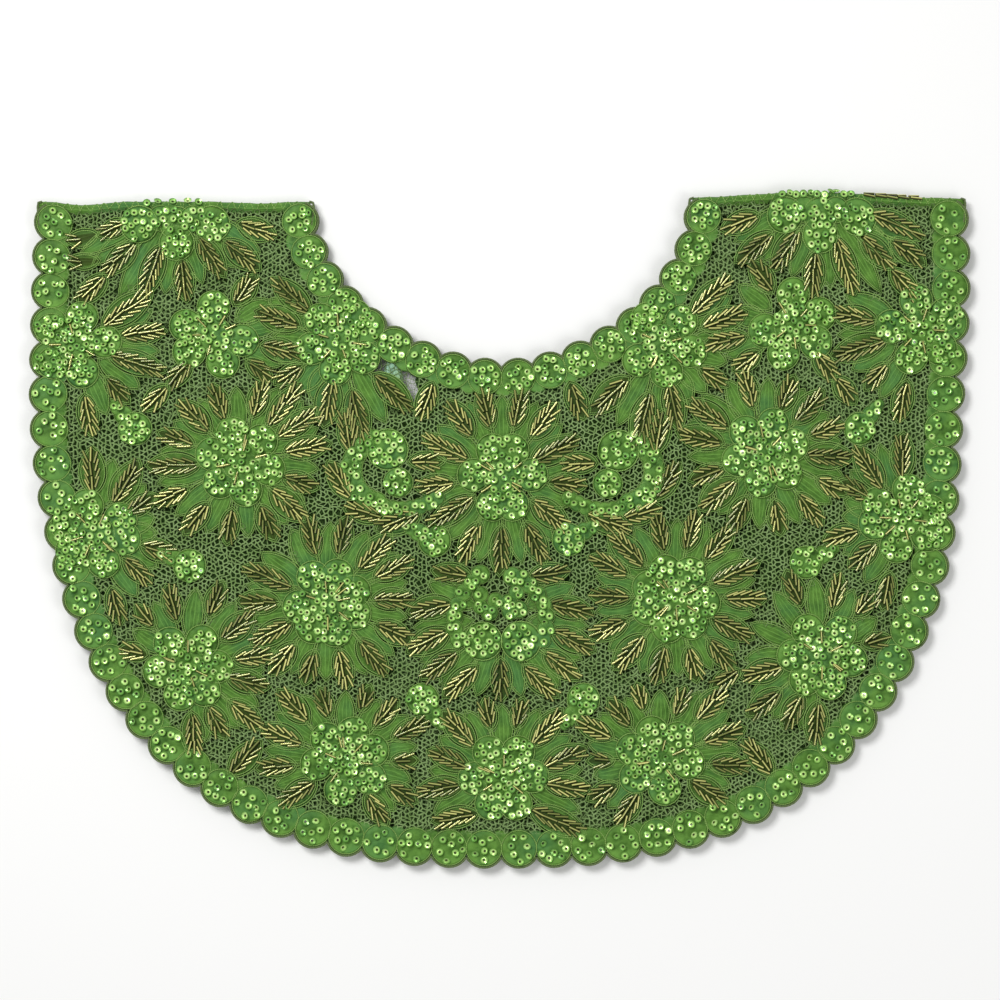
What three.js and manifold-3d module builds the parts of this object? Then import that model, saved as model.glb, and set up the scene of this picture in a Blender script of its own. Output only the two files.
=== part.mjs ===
// A beaded lace tree skirt, folded in half over its two shoulder folds and laid flat.
// Millimetres, +Z up. The origin is the middle of the footprint, on the surface that it lies on.
// +Y points at the fold, -Y at the bottom hem. The front layer lies on the back layer.
import * as THREE from "three";
import { mergeVertices } from "three/addons/utils/BufferGeometryUtils.js";
import Module from "manifold-3d";

const wasm = await Module();
wasm.setup();

// ---- Driving dimensions ----
const HEM_HALF_WIDTH = 231.3; // to the notches between the hem's scallops
const HEM_DEPTH = 264.7; // from the hem's widest line down to the bottom notches
const HEM_SHOULDER_RISE = 275; // how slowly the hem draws in above its widest line
const HEM_POWER = 2.65; // squareness of the hem's oval
const HEM_SCALLOPS = 54;
const HEM_SCALLOP_RISE = 3;
const HEM_BAND = 12; // width of the scalloped hem band, measured from its notches
const NECK_HALF_WIDTH = 97; // to the notches between the neck's scallops
const NECK_DEPTH = 83.7;
const NECK_POWER = 1.8; // below 2, so the neck's oval is slimmer than an ellipse
const NECK_SCALLOPS = 18;
const NECK_SCALLOP_RISE = 3.4;
const NECK_BAND = 12;
const FOLD_Y = 165.5; // where the cloth starts to roll over
const WIDEST_Y = 100; // the hem's widest line
const ARC_STEPS = 3; // straight edges in a scallop
const HEM_STEPS = 36; // straight edges in the net's hem side
const NECK_STEPS = 12; // straight edges in the net's neck side
const NOTCH_X = -53; // the small notch in the back layer's neck edge
const NOTCH_WIDTH = 22;
const NOTCH_BELOW_NECK = 19; // how far it reaches below the neck's lowest point

const CLOTH = 0.8; // thickness of the net ground
const STITCH_GAP = 0.2; // thread between the ground and what is sewn on
const LEAF_THICKNESS = 0.9; // an organza leaf with its bugle beads
const BAND_THICKNESS = 0.9;
const SEQUIN_THICKNESS = 1.3; // a cluster of sequins
const LAYER_GAP = 2; // air between the two layers
const PIECE_GAP = 0.3; // between neighbours that are sewn edge to edge

const PETAL_RADIUS = 8;
const PETAL_REACH = 14.5; // from the flower's centre to a petal's centre
const HEART_RADIUS = 11.5;
const HUB_RADIUS = 17; // the organza round that joins a spray's leaves under its flower
const STEM_START = 11; // where a leaf's stem starts, from the flower's centre
const LEAF_WIDTH = 9;
const DROP_RADIUS = 7.5;
const DROP_TAIL = 15;
const CURL_RADIUS = 16.5;
const CURL_WIDTH = 6;
const CURL_START = 70; // degrees, where the curl's hook starts
const CURL_SWEEP = 250; // degrees
const CURL_HEAD = 9.5; // from the curl's centre to its head's centre

// ---- Heights, from the middle plane between the layers outwards ----
const CLOTH_IN = LAYER_GAP / 2;
const CLOTH_OUT = CLOTH_IN + CLOTH;
const LEAF_IN = CLOTH_OUT + STITCH_GAP;
const LEAF_OUT = LEAF_IN + LEAF_THICKNESS;
const SEQUIN_IN = LEAF_OUT + STITCH_GAP;
const SEQUIN_OUT = SEQUIN_IN + SEQUIN_THICKNESS;
const MIDDLE_Z = SEQUIN_OUT;

// ---- The beaded pattern ----
// at and rightAt: the flower's centre on the left and on the right half. A flower with no rightAt stands once.
// Centres are for a skirt of PATTERN_HALF_WIDTH by PATTERN_LENGTH, and spread with the real one.
// petals: directions in degrees. leaves: [direction, from, to, lean], in degrees and mm from the centre.
const PATTERN_HALF_WIDTH = 231.3;
const PATTERN_LENGTH = 330.2;
const PATTERN_FOLD_Y = 165.5;
const FLOWERS = [
  {
    place: "fold", at: [-162.5, PATTERN_FOLD_Y], rightAt: [159.5, PATTERN_FOLD_Y], petals: [199, 271, 343],
    leaves: [[199, 27, 54], [211, 42, 61], [224, 29, 50], [225, 51, 69], [250, 23, 50], [275, 29, 49],
      [302, 21, 43], [322, 31, 52], [343, 33, 51]],
  },
  {
    place: "upper_side", at: [-212, 94], rightAt: [210.5, 101], petals: [5, 80, 149, 221, 284],
    leaves: [[35, 17, 45], [10, 23, 44], [342, 18, 46], [312, 24, 39], [281, 27, 46]],
  },
  {
    place: "upper", at: [-144, 98.5], rightAt: [146, 102.5], petals: [90, 160, 215, 289, 350],
    leaves: [[57, 20, 37], [348, 25, 45], [323, 22, 36], [229, 18, 34], [229, 35, 50], [153, 25, 38]],
  },
  {
    place: "neck", at: [-81, 95.5], rightAt: [80.5, 94], petals: [59, 131, 195, 262, 325],
    leaves: [[136, 21, 46], [159, 22, 44], [214, 23, 38], [260, 20, 43], [284, 26, 52], [315, 25, 49]],
  },
  {
    place: "middle", at: [-130.5, 35], rightAt: [132.5, 39.5], petals: [45, 105, 165, 225, 280, 345],
    leaves: [[12, 23, 45], [33, 23, 46], [52, 23, 48], [74, 24, 42], [110, 23, 40], [135, 22, 42], [160, 25, 42],
      [184, 21, 45], [207, 30, 46], [232, 27, 45], [260, 25, 41], [294, 25, 42], [318, 21, 43], [340, 23, 40]],
  },
  {
    place: "middle_side", at: [-202.5, -1], rightAt: [202, 6.5], petals: [30, 105, 165, 215, 285, 350],
    leaves: [[92, 21, 42], [58, 18, 42], [32, 19, 35], [345, 24, 41], [318, 19, 36], [285, 29, 46]],
  },
  {
    place: "lower", at: [-87, -35.5], rightAt: [87, -33.5], petals: [22, 70, 120, 188, 238, 285, 338],
    leaves: [[2, 23, 42], [336, 27, 46], [310, 25, 46], [283, 25, 43], [255, 26, 42], [231, 27, 45], [208, 21, 43],
      [180, 25, 44], [157, 20, 45], [128, 25, 45], [103, 25, 44], [77, 25, 43], [46, 23, 46], [27, 27, 47]],
  },
  {
    place: "lower_side", at: [-157, -67.5], rightAt: [160.5, -62], petals: [60, 128, 190, 255, 305, 0],
    leaves: [[103, 24, 41], [67, 28, 45], [38, 22, 42], [8, 24, 43], [345, 21, 41], [320, 28, 47], [297, 23, 40],
      [275, 24, 44], [165, 22, 34], [130, 27, 39]],
  },
  {
    place: "bottom", at: [-78, -115], rightAt: [79, -114.5], petals: [22, 75, 130, 185, 260, 325],
    leaves: [[0, 24, 35], [26, 27, 45], [50, 23, 39], [73, 27, 39], [110, 24, 38], [133, 28, 48], [158, 24, 45],
      [184, 26, 44], [213, 19, 39], [303, 20, 37], [330, 25, 40]],
  },
  {
    place: "upper_centre", at: [0.5, 27], petals: [70, 110, 175, 250, 290, 5],
    leaves: [[77, 26, 45], [54, 25, 45], [27, 17, 42], [354, 24, 41], [322, 19, 41], [297, 26, 47], [269, 25, 48],
      [213, 18, 44], [243, 26, 47], [186, 25, 43], [153, 19, 44], [126, 26, 46], [103, 26, 45]],
  },
  {
    place: "lower_centre", at: [-0.5, -43.5], petals: [55, 125, 185, 235, 305, 355],
    leaves: [[42, 24, 42, -35], [8, 25, 46, -21], [343, 27, 49, -8], [322, 28, 49], [302, 27, 48, 14], [270, 21, 40],
      [238, 27, 48, -14], [218, 28, 49], [197, 27, 49, 8], [172, 25, 46, 21], [138, 24, 42, 35]],
  },
  {
    place: "bottom_centre", at: [1, -123], petals: [60, 120, 182, 245, 295, 2],
    leaves: [[17, 21, 43, 6], [351, 22, 43], [321, 21, 49, 15], [48, 22, 44], [76, 26, 40], [104, 26, 40],
      [133, 22, 44], [161, 19, 39, -5], [190, 22, 43], [220, 21, 42, -28]],
  },
];

// tail: the direction of a teardrop's point, in degrees.
const DROPS = [
  { place: "upper", at: [-182, 51.5], rightAt: [181.5, 51.5], tail: 130 },
  { place: "middle", at: [-156, -17], rightAt: [152.5, -15.5], tail: 155 },
  { place: "inner", at: [-33.5, -4.5], rightAt: [33.5, -4], tail: 153 },
  { place: "lower", at: [-39.5, -84], rightAt: [41, -84], tail: 306 },
];
const CURLS = [{ place: "inner", at: [-58.5, 30.5], rightAt: [60, 30] }];

// ---- Solids ----
function toSolid(geometry) {
  const bare = geometry.clone();
  bare.deleteAttribute("normal");
  bare.deleteAttribute("uv");
  const merged = mergeVertices(bare, 1e-4);
  return new wasm.Manifold(new wasm.Mesh({
    numProp: 3,
    vertProperties: merged.attributes.position.array,
    triVerts: new Uint32Array(merged.index.array),
  }));
}

function toGeometry(solid) {
  const mesh = solid.getMesh();
  const geometry = new THREE.BufferGeometry();
  geometry.setAttribute("position", new THREE.BufferAttribute(mesh.vertProperties, 3));
  geometry.setIndex(new THREE.BufferAttribute(mesh.triVerts, 1));
  geometry.computeVertexNormals();
  return geometry;
}

// A flat plate with that outline between two heights.
function plate(points, low, high) {
  const shape = new THREE.Shape(points);
  const geometry = new THREE.ExtrudeGeometry(shape, { depth: high - low, bevelEnabled: false });
  return toSolid(geometry.translate(0, 0, low));
}

const joined = (solids) => solids.reduce((all, solid) => all.add(solid));

// The biggest of the separate bodies that a cut has left.
function biggest(solid) {
  return solid.decompose().reduce((best, body) => (body.volume() > best.volume() ? body : best));
}

// ---- Outlines ----
const toRadians = THREE.MathUtils.degToRad;
const polar = (degrees, radius) => new THREE.Vector2(
  radius * Math.cos(toRadians(degrees)), radius * Math.sin(toRadians(degrees)));

// Half of the hem's width at a height, shrunk by inset on all sides.
function hemHalfWidth(y, inset) {
  const depth = (y < WIDEST_Y ? HEM_DEPTH : HEM_SHOULDER_RISE) - inset;
  const share = Math.min(1, Math.abs(y - WIDEST_Y) / depth);
  return (HEM_HALF_WIDTH - inset) * (1 - share ** HEM_POWER) ** (1 / HEM_POWER);
}

// The hem's oval as many short steps, from the left fold round the bottom to the right fold.
function hemLine(inset) {
  const steps = 240;
  const half = [];
  for (let i = 0; i < steps; i++) {
    const y = FOLD_Y + (WIDEST_Y - FOLD_Y) * (i / steps);
    half.push(new THREE.Vector2(-hemHalfWidth(y, inset), y));
  }
  for (let i = 0; i <= steps; i++) {
    const angle = (Math.PI / 2) * (i / steps);
    half.push(new THREE.Vector2(
      -(HEM_HALF_WIDTH - inset) * Math.cos(angle) ** (2 / HEM_POWER),
      WIDEST_Y - (HEM_DEPTH - inset) * Math.sin(angle) ** (2 / HEM_POWER)));
  }
  const other = half.slice(0, -1).reverse().map((p) => new THREE.Vector2(-p.x, p.y));
  return [...half, ...other];
}

// The neck's half oval, from the right fold down and up to the left fold, grown by outset.
function neckLine(outset) {
  const steps = 240;
  return Array.from({ length: steps + 1 }, (_, i) => {
    const angle = Math.PI * (i / steps);
    const across = Math.sign(Math.cos(angle)) * Math.abs(Math.cos(angle)) ** (2 / NECK_POWER);
    const down = Math.sin(angle) ** (2 / NECK_POWER);
    return new THREE.Vector2((NECK_HALF_WIDTH + outset) * across, FOLD_Y - (NECK_DEPTH + outset) * down);
  });
}

// The line cut into equal lengths.
function evenly(line, count) {
  const lengths = [0];
  for (let i = 1; i < line.length; i++) lengths.push(lengths[i - 1] + line[i].distanceTo(line[i - 1]));
  return Array.from({ length: count + 1 }, (_, k) => {
    const want = (lengths.at(-1) * k) / count;
    const i = Math.max(1, lengths.findIndex((length) => length >= want - 1e-9));
    const share = (want - lengths[i - 1]) / (lengths[i] - lengths[i - 1]);
    return line[i - 1].clone().lerp(line[i], share);
  });
}

// Arcs that bulge to the right of the way along the line, with notches at its even points.
function scalloped(line, count, rise) {
  const notches = evenly(line, count);
  const points = [];
  for (let k = 0; k < count; k++) {
    const [from, to] = [notches[k], notches[k + 1]];
    const out = new THREE.Vector2(to.y - from.y, from.x - to.x).normalize();
    for (let i = 0; i < ARC_STEPS; i++) {
      const share = i / ARC_STEPS;
      const bulge = rise * (1 - (2 * share - 1) ** 2);
      // The first and last scallops run straight into the fold.
      const x = from.x + (to.x - from.x) * share + out.x * bulge;
      const y = Math.min(FOLD_Y, from.y + (to.y - from.y) * share + out.y * bulge);
      points.push(new THREE.Vector2(x, y));
    }
  }
  return [...points, notches.at(-1)];
}

const hemEdge = scalloped(hemLine(0), HEM_SCALLOPS, HEM_SCALLOP_RISE);
// The neck line runs the other way round, so its scallops bulge into the hole.
const neckEdge = scalloped(neckLine(0), NECK_SCALLOPS, NECK_SCALLOP_RISE);
const hemInner = evenly(hemLine(HEM_BAND), HEM_SCALLOPS / 2);
const neckInner = evenly(neckLine(NECK_BAND), NECK_SCALLOPS);

const netOutline = [...evenly(hemLine(0), HEM_STEPS), ...evenly(neckLine(0), NECK_STEPS)];
const edgeOutline = [...hemEdge, ...neckEdge];
const hemBandOutline = [...hemEdge, ...hemInner.reverse()];
const neckBandOutline = [...neckEdge, ...neckInner.reverse()];
// What lies between the two bands, with a gap to each.
const fieldOutline = [
  ...evenly(hemLine(HEM_BAND + PIECE_GAP), HEM_SCALLOPS / 2),
  ...evenly(neckLine(NECK_BAND + PIECE_GAP), NECK_SCALLOPS),
];

// A leaf with its stem, from the round under the flower to its tip. grow widens it on all sides.
function leafOutline(centre, [direction, from, to, lean = 0], grow) {
  const middle = polar(direction, (from + to) / 2).add(centre);
  const along = polar(direction + lean, 1);
  const across = new THREE.Vector2(-along.y, along.x);
  const width = LEAF_WIDTH / 2 + grow;
  const tip = middle.clone().addScaledVector(along, (to - from) / 2 + 3 * grow);
  const stem = polar(direction, STEM_START).add(centre);
  const side = (sign) => middle.clone().addScaledVector(across, sign * width);
  return [stem, side(-1), tip, side(1)];
}

function ringOf(centre, radius, sides, turn = 0) {
  return Array.from({ length: sides }, (_, i) => polar(turn + (360 * i) / sides, radius).add(centre));
}

// ---- Sub-parts of one layer, as prisms between two heights ----
const PETAL_SIDES = 6;
const ROUND_SIDES = 10;

function flowerSolid(flower, centre, low, high, grow = 0) {
  const petals = flower.petals.map((direction) => {
    const middle = polar(direction, PETAL_REACH).add(centre);
    return plate(ringOf(middle, PETAL_RADIUS + grow, PETAL_SIDES, direction), low, high);
  });
  return joined([plate(ringOf(centre, HEART_RADIUS + grow, ROUND_SIDES), low, high), ...petals]);
}

function spraySolid(flower, centre, low, high, grow = 0) {
  const leaves = flower.leaves.map((leaf) => plate(leafOutline(centre, leaf, grow), low, high));
  return joined([plate(ringOf(centre, HUB_RADIUS + grow, ROUND_SIDES), low, high), ...leaves]);
}

function dropSolid(drop, centre, low, high, grow = 0) {
  const head = plate(ringOf(centre, DROP_RADIUS + grow, ROUND_SIDES), low, high);
  const tip = polar(drop.tail, DROP_TAIL + 2 * grow).add(centre);
  const side = polar(drop.tail + 90, 0.6 * DROP_RADIUS + grow);
  return head.add(plate([centre.clone().sub(side), tip, centre.clone().add(side)], low, high));
}

// A hook: an open ring round a round head.
function curlSolid(curl, centre, low, high, grow = 0) {
  const steps = 9;
  const turn = (degrees) => (curl.mirrored ? 180 - degrees : degrees);
  const side = (radius) => Array.from({ length: steps + 1 }, (_, i) =>
    polar(turn(CURL_START + (CURL_SWEEP * i) / steps), radius).add(centre));
  const inner = side(CURL_RADIUS - CURL_WIDTH / 2 - grow);
  const outer = side(CURL_RADIUS + CURL_WIDTH / 2 + grow);
  const hook = plate([...outer, ...inner.reverse()], low, high);
  const head = polar(turn(CURL_START), CURL_HEAD).add(centre);
  return hook.add(plate(ringOf(head, DROP_RADIUS + grow, ROUND_SIDES), low, high));
}

// ---- Materials ----
const cloth = (colour) => new THREE.MeshStandardMaterial({ color: colour, roughness: 0.8, metalness: 0 });
const sequin = new THREE.MeshStandardMaterial({ color: 0x79c23c, roughness: 0.25, metalness: 0.3 });
const bugle = new THREE.MeshStandardMaterial({ color: 0x5d6a1c, roughness: 0.2, metalness: 0.2 });
const net = cloth(0x4f7a45);
const organza = cloth(0x3f8a3a);

const skirt = new THREE.Group();
skirt.name = "tree_skirt";

// Adds a solid whose heights were measured from the middle plane.
function add(name, solid, material) {
  const mesh = new THREE.Mesh(toGeometry(solid.translate([0, 0, MIDDLE_Z])), material);
  mesh.name = name;
  skirt.add(mesh);
}

// A quarter of the rolled fold, from one shoulder's hem edge to its neck edge.
function foldQuarter(side) {
  const steps = 4;
  const shape = new THREE.Shape();
  // In the plane across the fold, x runs up and y runs out past the fold.
  shape.moveTo(CLOTH_IN, 0);
  shape.lineTo(CLOTH_OUT, 0);
  for (let i = 1; i <= steps; i++) {
    const angle = ((Math.PI / 2) * i) / steps;
    const low = PIECE_GAP / 2;
    shape.lineTo(Math.max(low, CLOTH_OUT * Math.cos(angle)), CLOTH_OUT * Math.sin(angle));
  }
  for (let i = steps; i >= 1; i--) {
    const angle = ((Math.PI / 2) * i) / steps;
    shape.lineTo(Math.max(PIECE_GAP / 2, CLOTH_IN * Math.cos(angle)), CLOTH_IN * Math.sin(angle));
  }
  const from = NECK_HALF_WIDTH;
  const to = hemHalfWidth(FOLD_Y, 0);
  const roll = new THREE.ExtrudeGeometry(shape, { depth: to - from, bevelEnabled: false });
  // Shape x becomes Z and shape y becomes Y, so the depth runs along -X.
  const turned = new THREE.Matrix4().set(0, 0, -1, 0, 0, 1, 0, 0, 1, 0, 0, 0, 0, 0, 0, 1);
  roll.applyMatrix4(turned);
  roll.translate(side > 0 ? to : -from, FOLD_Y, 0);
  return toSolid(roll);
}

// The back layer is the front one, mirrored in the middle plane.
const turnedOver = (solid) => solid.mirror([0, 0, 1]);


const netFront = joined([plate(netOutline, CLOTH_IN, CLOTH_OUT), foldQuarter(-1), foldQuarter(1)]);
const neckLowest = FOLD_Y - NECK_DEPTH;
const notchMiddle = new THREE.Vector2(NOTCH_X, neckLowest - NOTCH_BELOW_NECK + NOTCH_WIDTH / 2);
const notchEnd = plate(ringOf(notchMiddle, NOTCH_WIDTH / 2, ROUND_SIDES), -MIDDLE_Z, MIDDLE_Z);
const notchSlot = new THREE.BoxGeometry(NOTCH_WIDTH, FOLD_Y - notchMiddle.y, 2 * MIDDLE_Z);
notchSlot.translate(NOTCH_X, (FOLD_Y + notchMiddle.y) / 2, 0);
const notch = notchEnd.add(toSolid(notchSlot));
add("front_net", netFront, net);
add("back_net", turnedOver(netFront).subtract(notch), net);

const hemBand = plate(hemBandOutline, LEAF_IN, LEAF_IN + BAND_THICKNESS);
const neckBand = plate(neckBandOutline, LEAF_IN, LEAF_IN + BAND_THICKNESS);
add("front_hem_scallops", hemBand, organza);
add("front_neck_scallops", neckBand, organza);
add("back_hem_scallops", turnedOver(hemBand), organza);
const [neckLeft, neckRight] = turnedOver(neckBand).subtract(notch).decompose()
  .sort((a, b) => a.boundingBox().min[0] - b.boundingBox().min[0]);
add("back_neck_scallops_left", neckLeft, organza);
add("back_neck_scallops_right", neckRight, organza);

// Where a centre of the pattern lies on this skirt.
function spread([x, y]) {
  const length = FOLD_Y - WIDEST_Y + HEM_DEPTH;
  const down = (PATTERN_FOLD_Y - y) / PATTERN_LENGTH;
  return new THREE.Vector2((x * HEM_HALF_WIDTH) / PATTERN_HALF_WIDTH, FOLD_Y - down * length);
}

// A motif on both halves, as [name, centre, motif], with its directions mirrored on the right half.
function halves(motif) {
  if (!motif.rightAt) return [[motif.place, spread(motif.at), motif]];
  const flip = (degrees) => 180 - degrees;
  const mirrored = {
    mirrored: true,
    petals: motif.petals?.map(flip),
    leaves: motif.leaves?.map(([direction, from, to, lean = 0]) => [flip(direction), from, to, -lean]),
    tail: flip(motif.tail),
  };
  return [
    [`${motif.place}_left`, spread(motif.at), motif],
    [`${motif.place}_right`, spread(motif.rightAt), mirrored],
  ];
}

// Adds a piece for each motif, cut to an outline and kept clear of the pieces that lie there already.
function addMotifs(kind, motifs, build, outline, low, high, material, taken = []) {
  const room = plate(outline, low, high);
  for (const [name, centre, motif] of motifs.flatMap(halves)) {
    const free = taken.reduce((solid, other) => solid.subtract(other), build(motif, centre, low, high));
    add(`front_${kind}_${name}`, biggest(free.intersect(room)), material);
    taken.push(build(motif, centre, low - 1, high + 1, PIECE_GAP));
  }
  return taken;
}

const small = addMotifs("drop", DROPS, dropSolid, fieldOutline, LEAF_IN, SEQUIN_OUT, sequin);
addMotifs("curl", CURLS, curlSolid, fieldOutline, LEAF_IN, SEQUIN_OUT, sequin, small);
// Each flower lies on its own spray of leaves, clear of the teardrops and curls.
addMotifs("spray", FLOWERS, spraySolid, fieldOutline, LEAF_IN, LEAF_OUT, bugle, [...small]);
addMotifs("flower", FLOWERS, flowerSolid, edgeOutline, SEQUIN_IN, SEQUIN_OUT, sequin, [...small]);

// The back layer's beadwork, face down: its leaves as one thin plate, with a round for each flower.
const FLOWER_RADIUS = PETAL_REACH + PETAL_RADIUS;
const rounds = FLOWERS.flatMap(halves).map(([, centre]) =>
  plate(ringOf(centre, FLOWER_RADIUS, ROUND_SIDES), LEAF_IN, SEQUIN_OUT));
const backWork = plate(fieldOutline, LEAF_IN, LEAF_OUT)
  .add(joined(rounds).intersect(plate(fieldOutline, LEAF_IN, SEQUIN_OUT)));
add("back_beadwork", biggest(turnedOver(backWork).subtract(notch)), bugle);

export default skirt;
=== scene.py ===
"""A beaded lace tree skirt, folded in half and laid flat.

It has a net ground, organza leaves and pads, outline cords, cup sequins and bugle beads. Every piece is made
in millimetres as it lies in the front layer, with heights measured from the middle plane between the layers,
and is then settled into the frame in metres. The back layer is made the same way, turned over.
"""
import math
import random

import bmesh
import bpy
import numpy as np
from mathutils import Matrix, Vector


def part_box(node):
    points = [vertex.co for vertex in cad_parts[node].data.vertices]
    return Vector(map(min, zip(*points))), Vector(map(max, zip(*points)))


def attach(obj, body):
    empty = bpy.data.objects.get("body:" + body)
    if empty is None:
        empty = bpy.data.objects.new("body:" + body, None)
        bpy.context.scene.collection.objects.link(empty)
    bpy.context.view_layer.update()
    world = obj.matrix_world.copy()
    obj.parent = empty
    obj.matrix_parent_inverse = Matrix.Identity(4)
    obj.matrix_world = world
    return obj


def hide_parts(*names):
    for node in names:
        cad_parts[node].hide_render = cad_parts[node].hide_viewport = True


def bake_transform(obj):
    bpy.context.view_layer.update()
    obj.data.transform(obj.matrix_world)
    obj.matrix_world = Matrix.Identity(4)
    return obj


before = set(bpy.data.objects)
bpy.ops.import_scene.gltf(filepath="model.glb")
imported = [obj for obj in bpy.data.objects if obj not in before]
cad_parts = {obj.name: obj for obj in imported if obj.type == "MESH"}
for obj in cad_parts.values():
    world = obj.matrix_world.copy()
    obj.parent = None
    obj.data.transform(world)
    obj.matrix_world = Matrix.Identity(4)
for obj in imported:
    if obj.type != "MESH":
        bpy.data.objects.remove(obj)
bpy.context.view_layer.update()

bl_info = {
    "name": "Beaded Lace Tree Skirt",
    "version": (1, 0, 0),
    "blender": (4, 5, 0),
    "location": "3D View > Sidebar > Tree Skirt",
    "description": "Builds the looks of a folded, beaded lace tree skirt round its frame",
    "category": "Object",
}

MM = 0.001

# ---- Sizes from the frame, in mm ----


def node_box(name):
    low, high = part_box(name)
    return low / MM, high / MM


NET_LOW, NET_HIGH = node_box("front_net")
HEM_HALF_WIDTH = NET_HIGH.x
HEM_BOTTOM = NET_LOW.y
FOLD_Y = node_box("front_hem_scallops")[1].y
SEQUIN_TOP = node_box("front_flower_lower_centre")[1].z
BEADS_BOTTOM = node_box("back_beadwork")[0].z
MIDDLE_Z = (SEQUIN_TOP + BEADS_BOTTOM) / 2

# ---- Heights over the middle plane, in mm ----
NET_Z = 1.5
LEAF_Z = 1.9
FILLER_Z = LEAF_Z - 0.4
SHEER_Z = NET_Z - 0.7
PAD_Z = 2.3
BEAD_Z = 3.0
SEQUIN_Z = 3.1
# The back layer's plain rounds lie on the far side of its net and leaves.
ROUND_Z = 2.35
# The back layer's beads lie pressed on the floor beyond this height.
PRESSED_Z = 3.3
PRESSED_SHARE = 0.45
FLOOR_Z = -0.3

# ---- The cloth's roll over the shoulders, in mm ----
ROLL_RADIUS = 1.85
ROLL_ARC = math.pi * ROLL_RADIUS
ROLL_Y = FOLD_Y - 0.6
FLAP = 3.4

# ---- How far short of the fold line the flat work stops, in mm ----
ROUND_SHORT = 0.8
PAD_SHORT = 1
NET_SHORT = 2.2
LEAF_SHORT = 2.5
SEQUIN_SHORT = 3.2
BUGLE_SHORT = 6

# ---- Outlines ----
HEM_POWER = 2.65
WIDEST_Y = 100
HEM_SHOULDER_RISE = 275
NECK_POWER = 1.8
# Each edge: how many scallops it has, their radius, how far inside the edge their centres lie, and the side
# they face. Then the spacing of their sequins, the most in one scallop, and the seed of the edge's draws.
EDGES = {
    "hem": dict(count=54, radius=9.5, inside=6.2, facing=-1, gap=4.1, most=8, seed=7),
    "neck": dict(count=18, radius=9.1, inside=5.6, facing=1, gap=3.1, most=13, seed=8),
}
NECK_HALF_WIDTH = 97
NECK_DEPTH = 83.7
NOTCH_X = -53
NOTCH_WIDTH = 22
NOTCH_LOW_Y = 63

# ---- The beaded pattern ----
# The pattern is drawn for a cloth of this size and fold line, in mm, and spreads with the real one.
PATTERN_HALF_WIDTH = 231.3
PATTERN_LENGTH = 330.2
PATTERN_FOLD_Y = 165.5
# The lower centre flower is a crown of two arms over two petals.
# A pad is (x, y, radius) in mm from the flower's centre.
CROWN_PADS = (
    (-10, 22, 4.8), (-14.5, 18, 4.4), (-18.5, 13, 4.4), (-21.5, 7, 4.2), (-23, 1, 4.4), (-23, -5, 4.4),
    (-21, -10.5, 4.4), (6, 21, 4.8), (10.5, 20, 4.4), (14.5, 16.5, 4.4), (18.5, 12, 4.4), (21.5, 7, 4.2),
    (22.8, 1, 4.4), (22.8, -5, 4.4), (21, -10.5, 4.4), (-10, 12, 4), (-10, 6, 4), (-5.5, 3, 4.4),
    (-2.5, 9, 4), (8, 13, 4), (4, 7.5, 4.8), (9.5, 4.5, 4.4), (5, 3.5, 4.4), (-8.8, -11.4, 9.6),
    (10.3, -11.4, 10),
)
# A fold flower is cut by the fold: three petals hang from it.
FOLD_PADS = (
    (-18.8, -10.4, 9.6), (0, -20, 8.8), (17.6, -10, 9.6), (-8, -7.5, 7.5), (8, -7.5, 7.5), (0, -10, 8.5),
)
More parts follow.
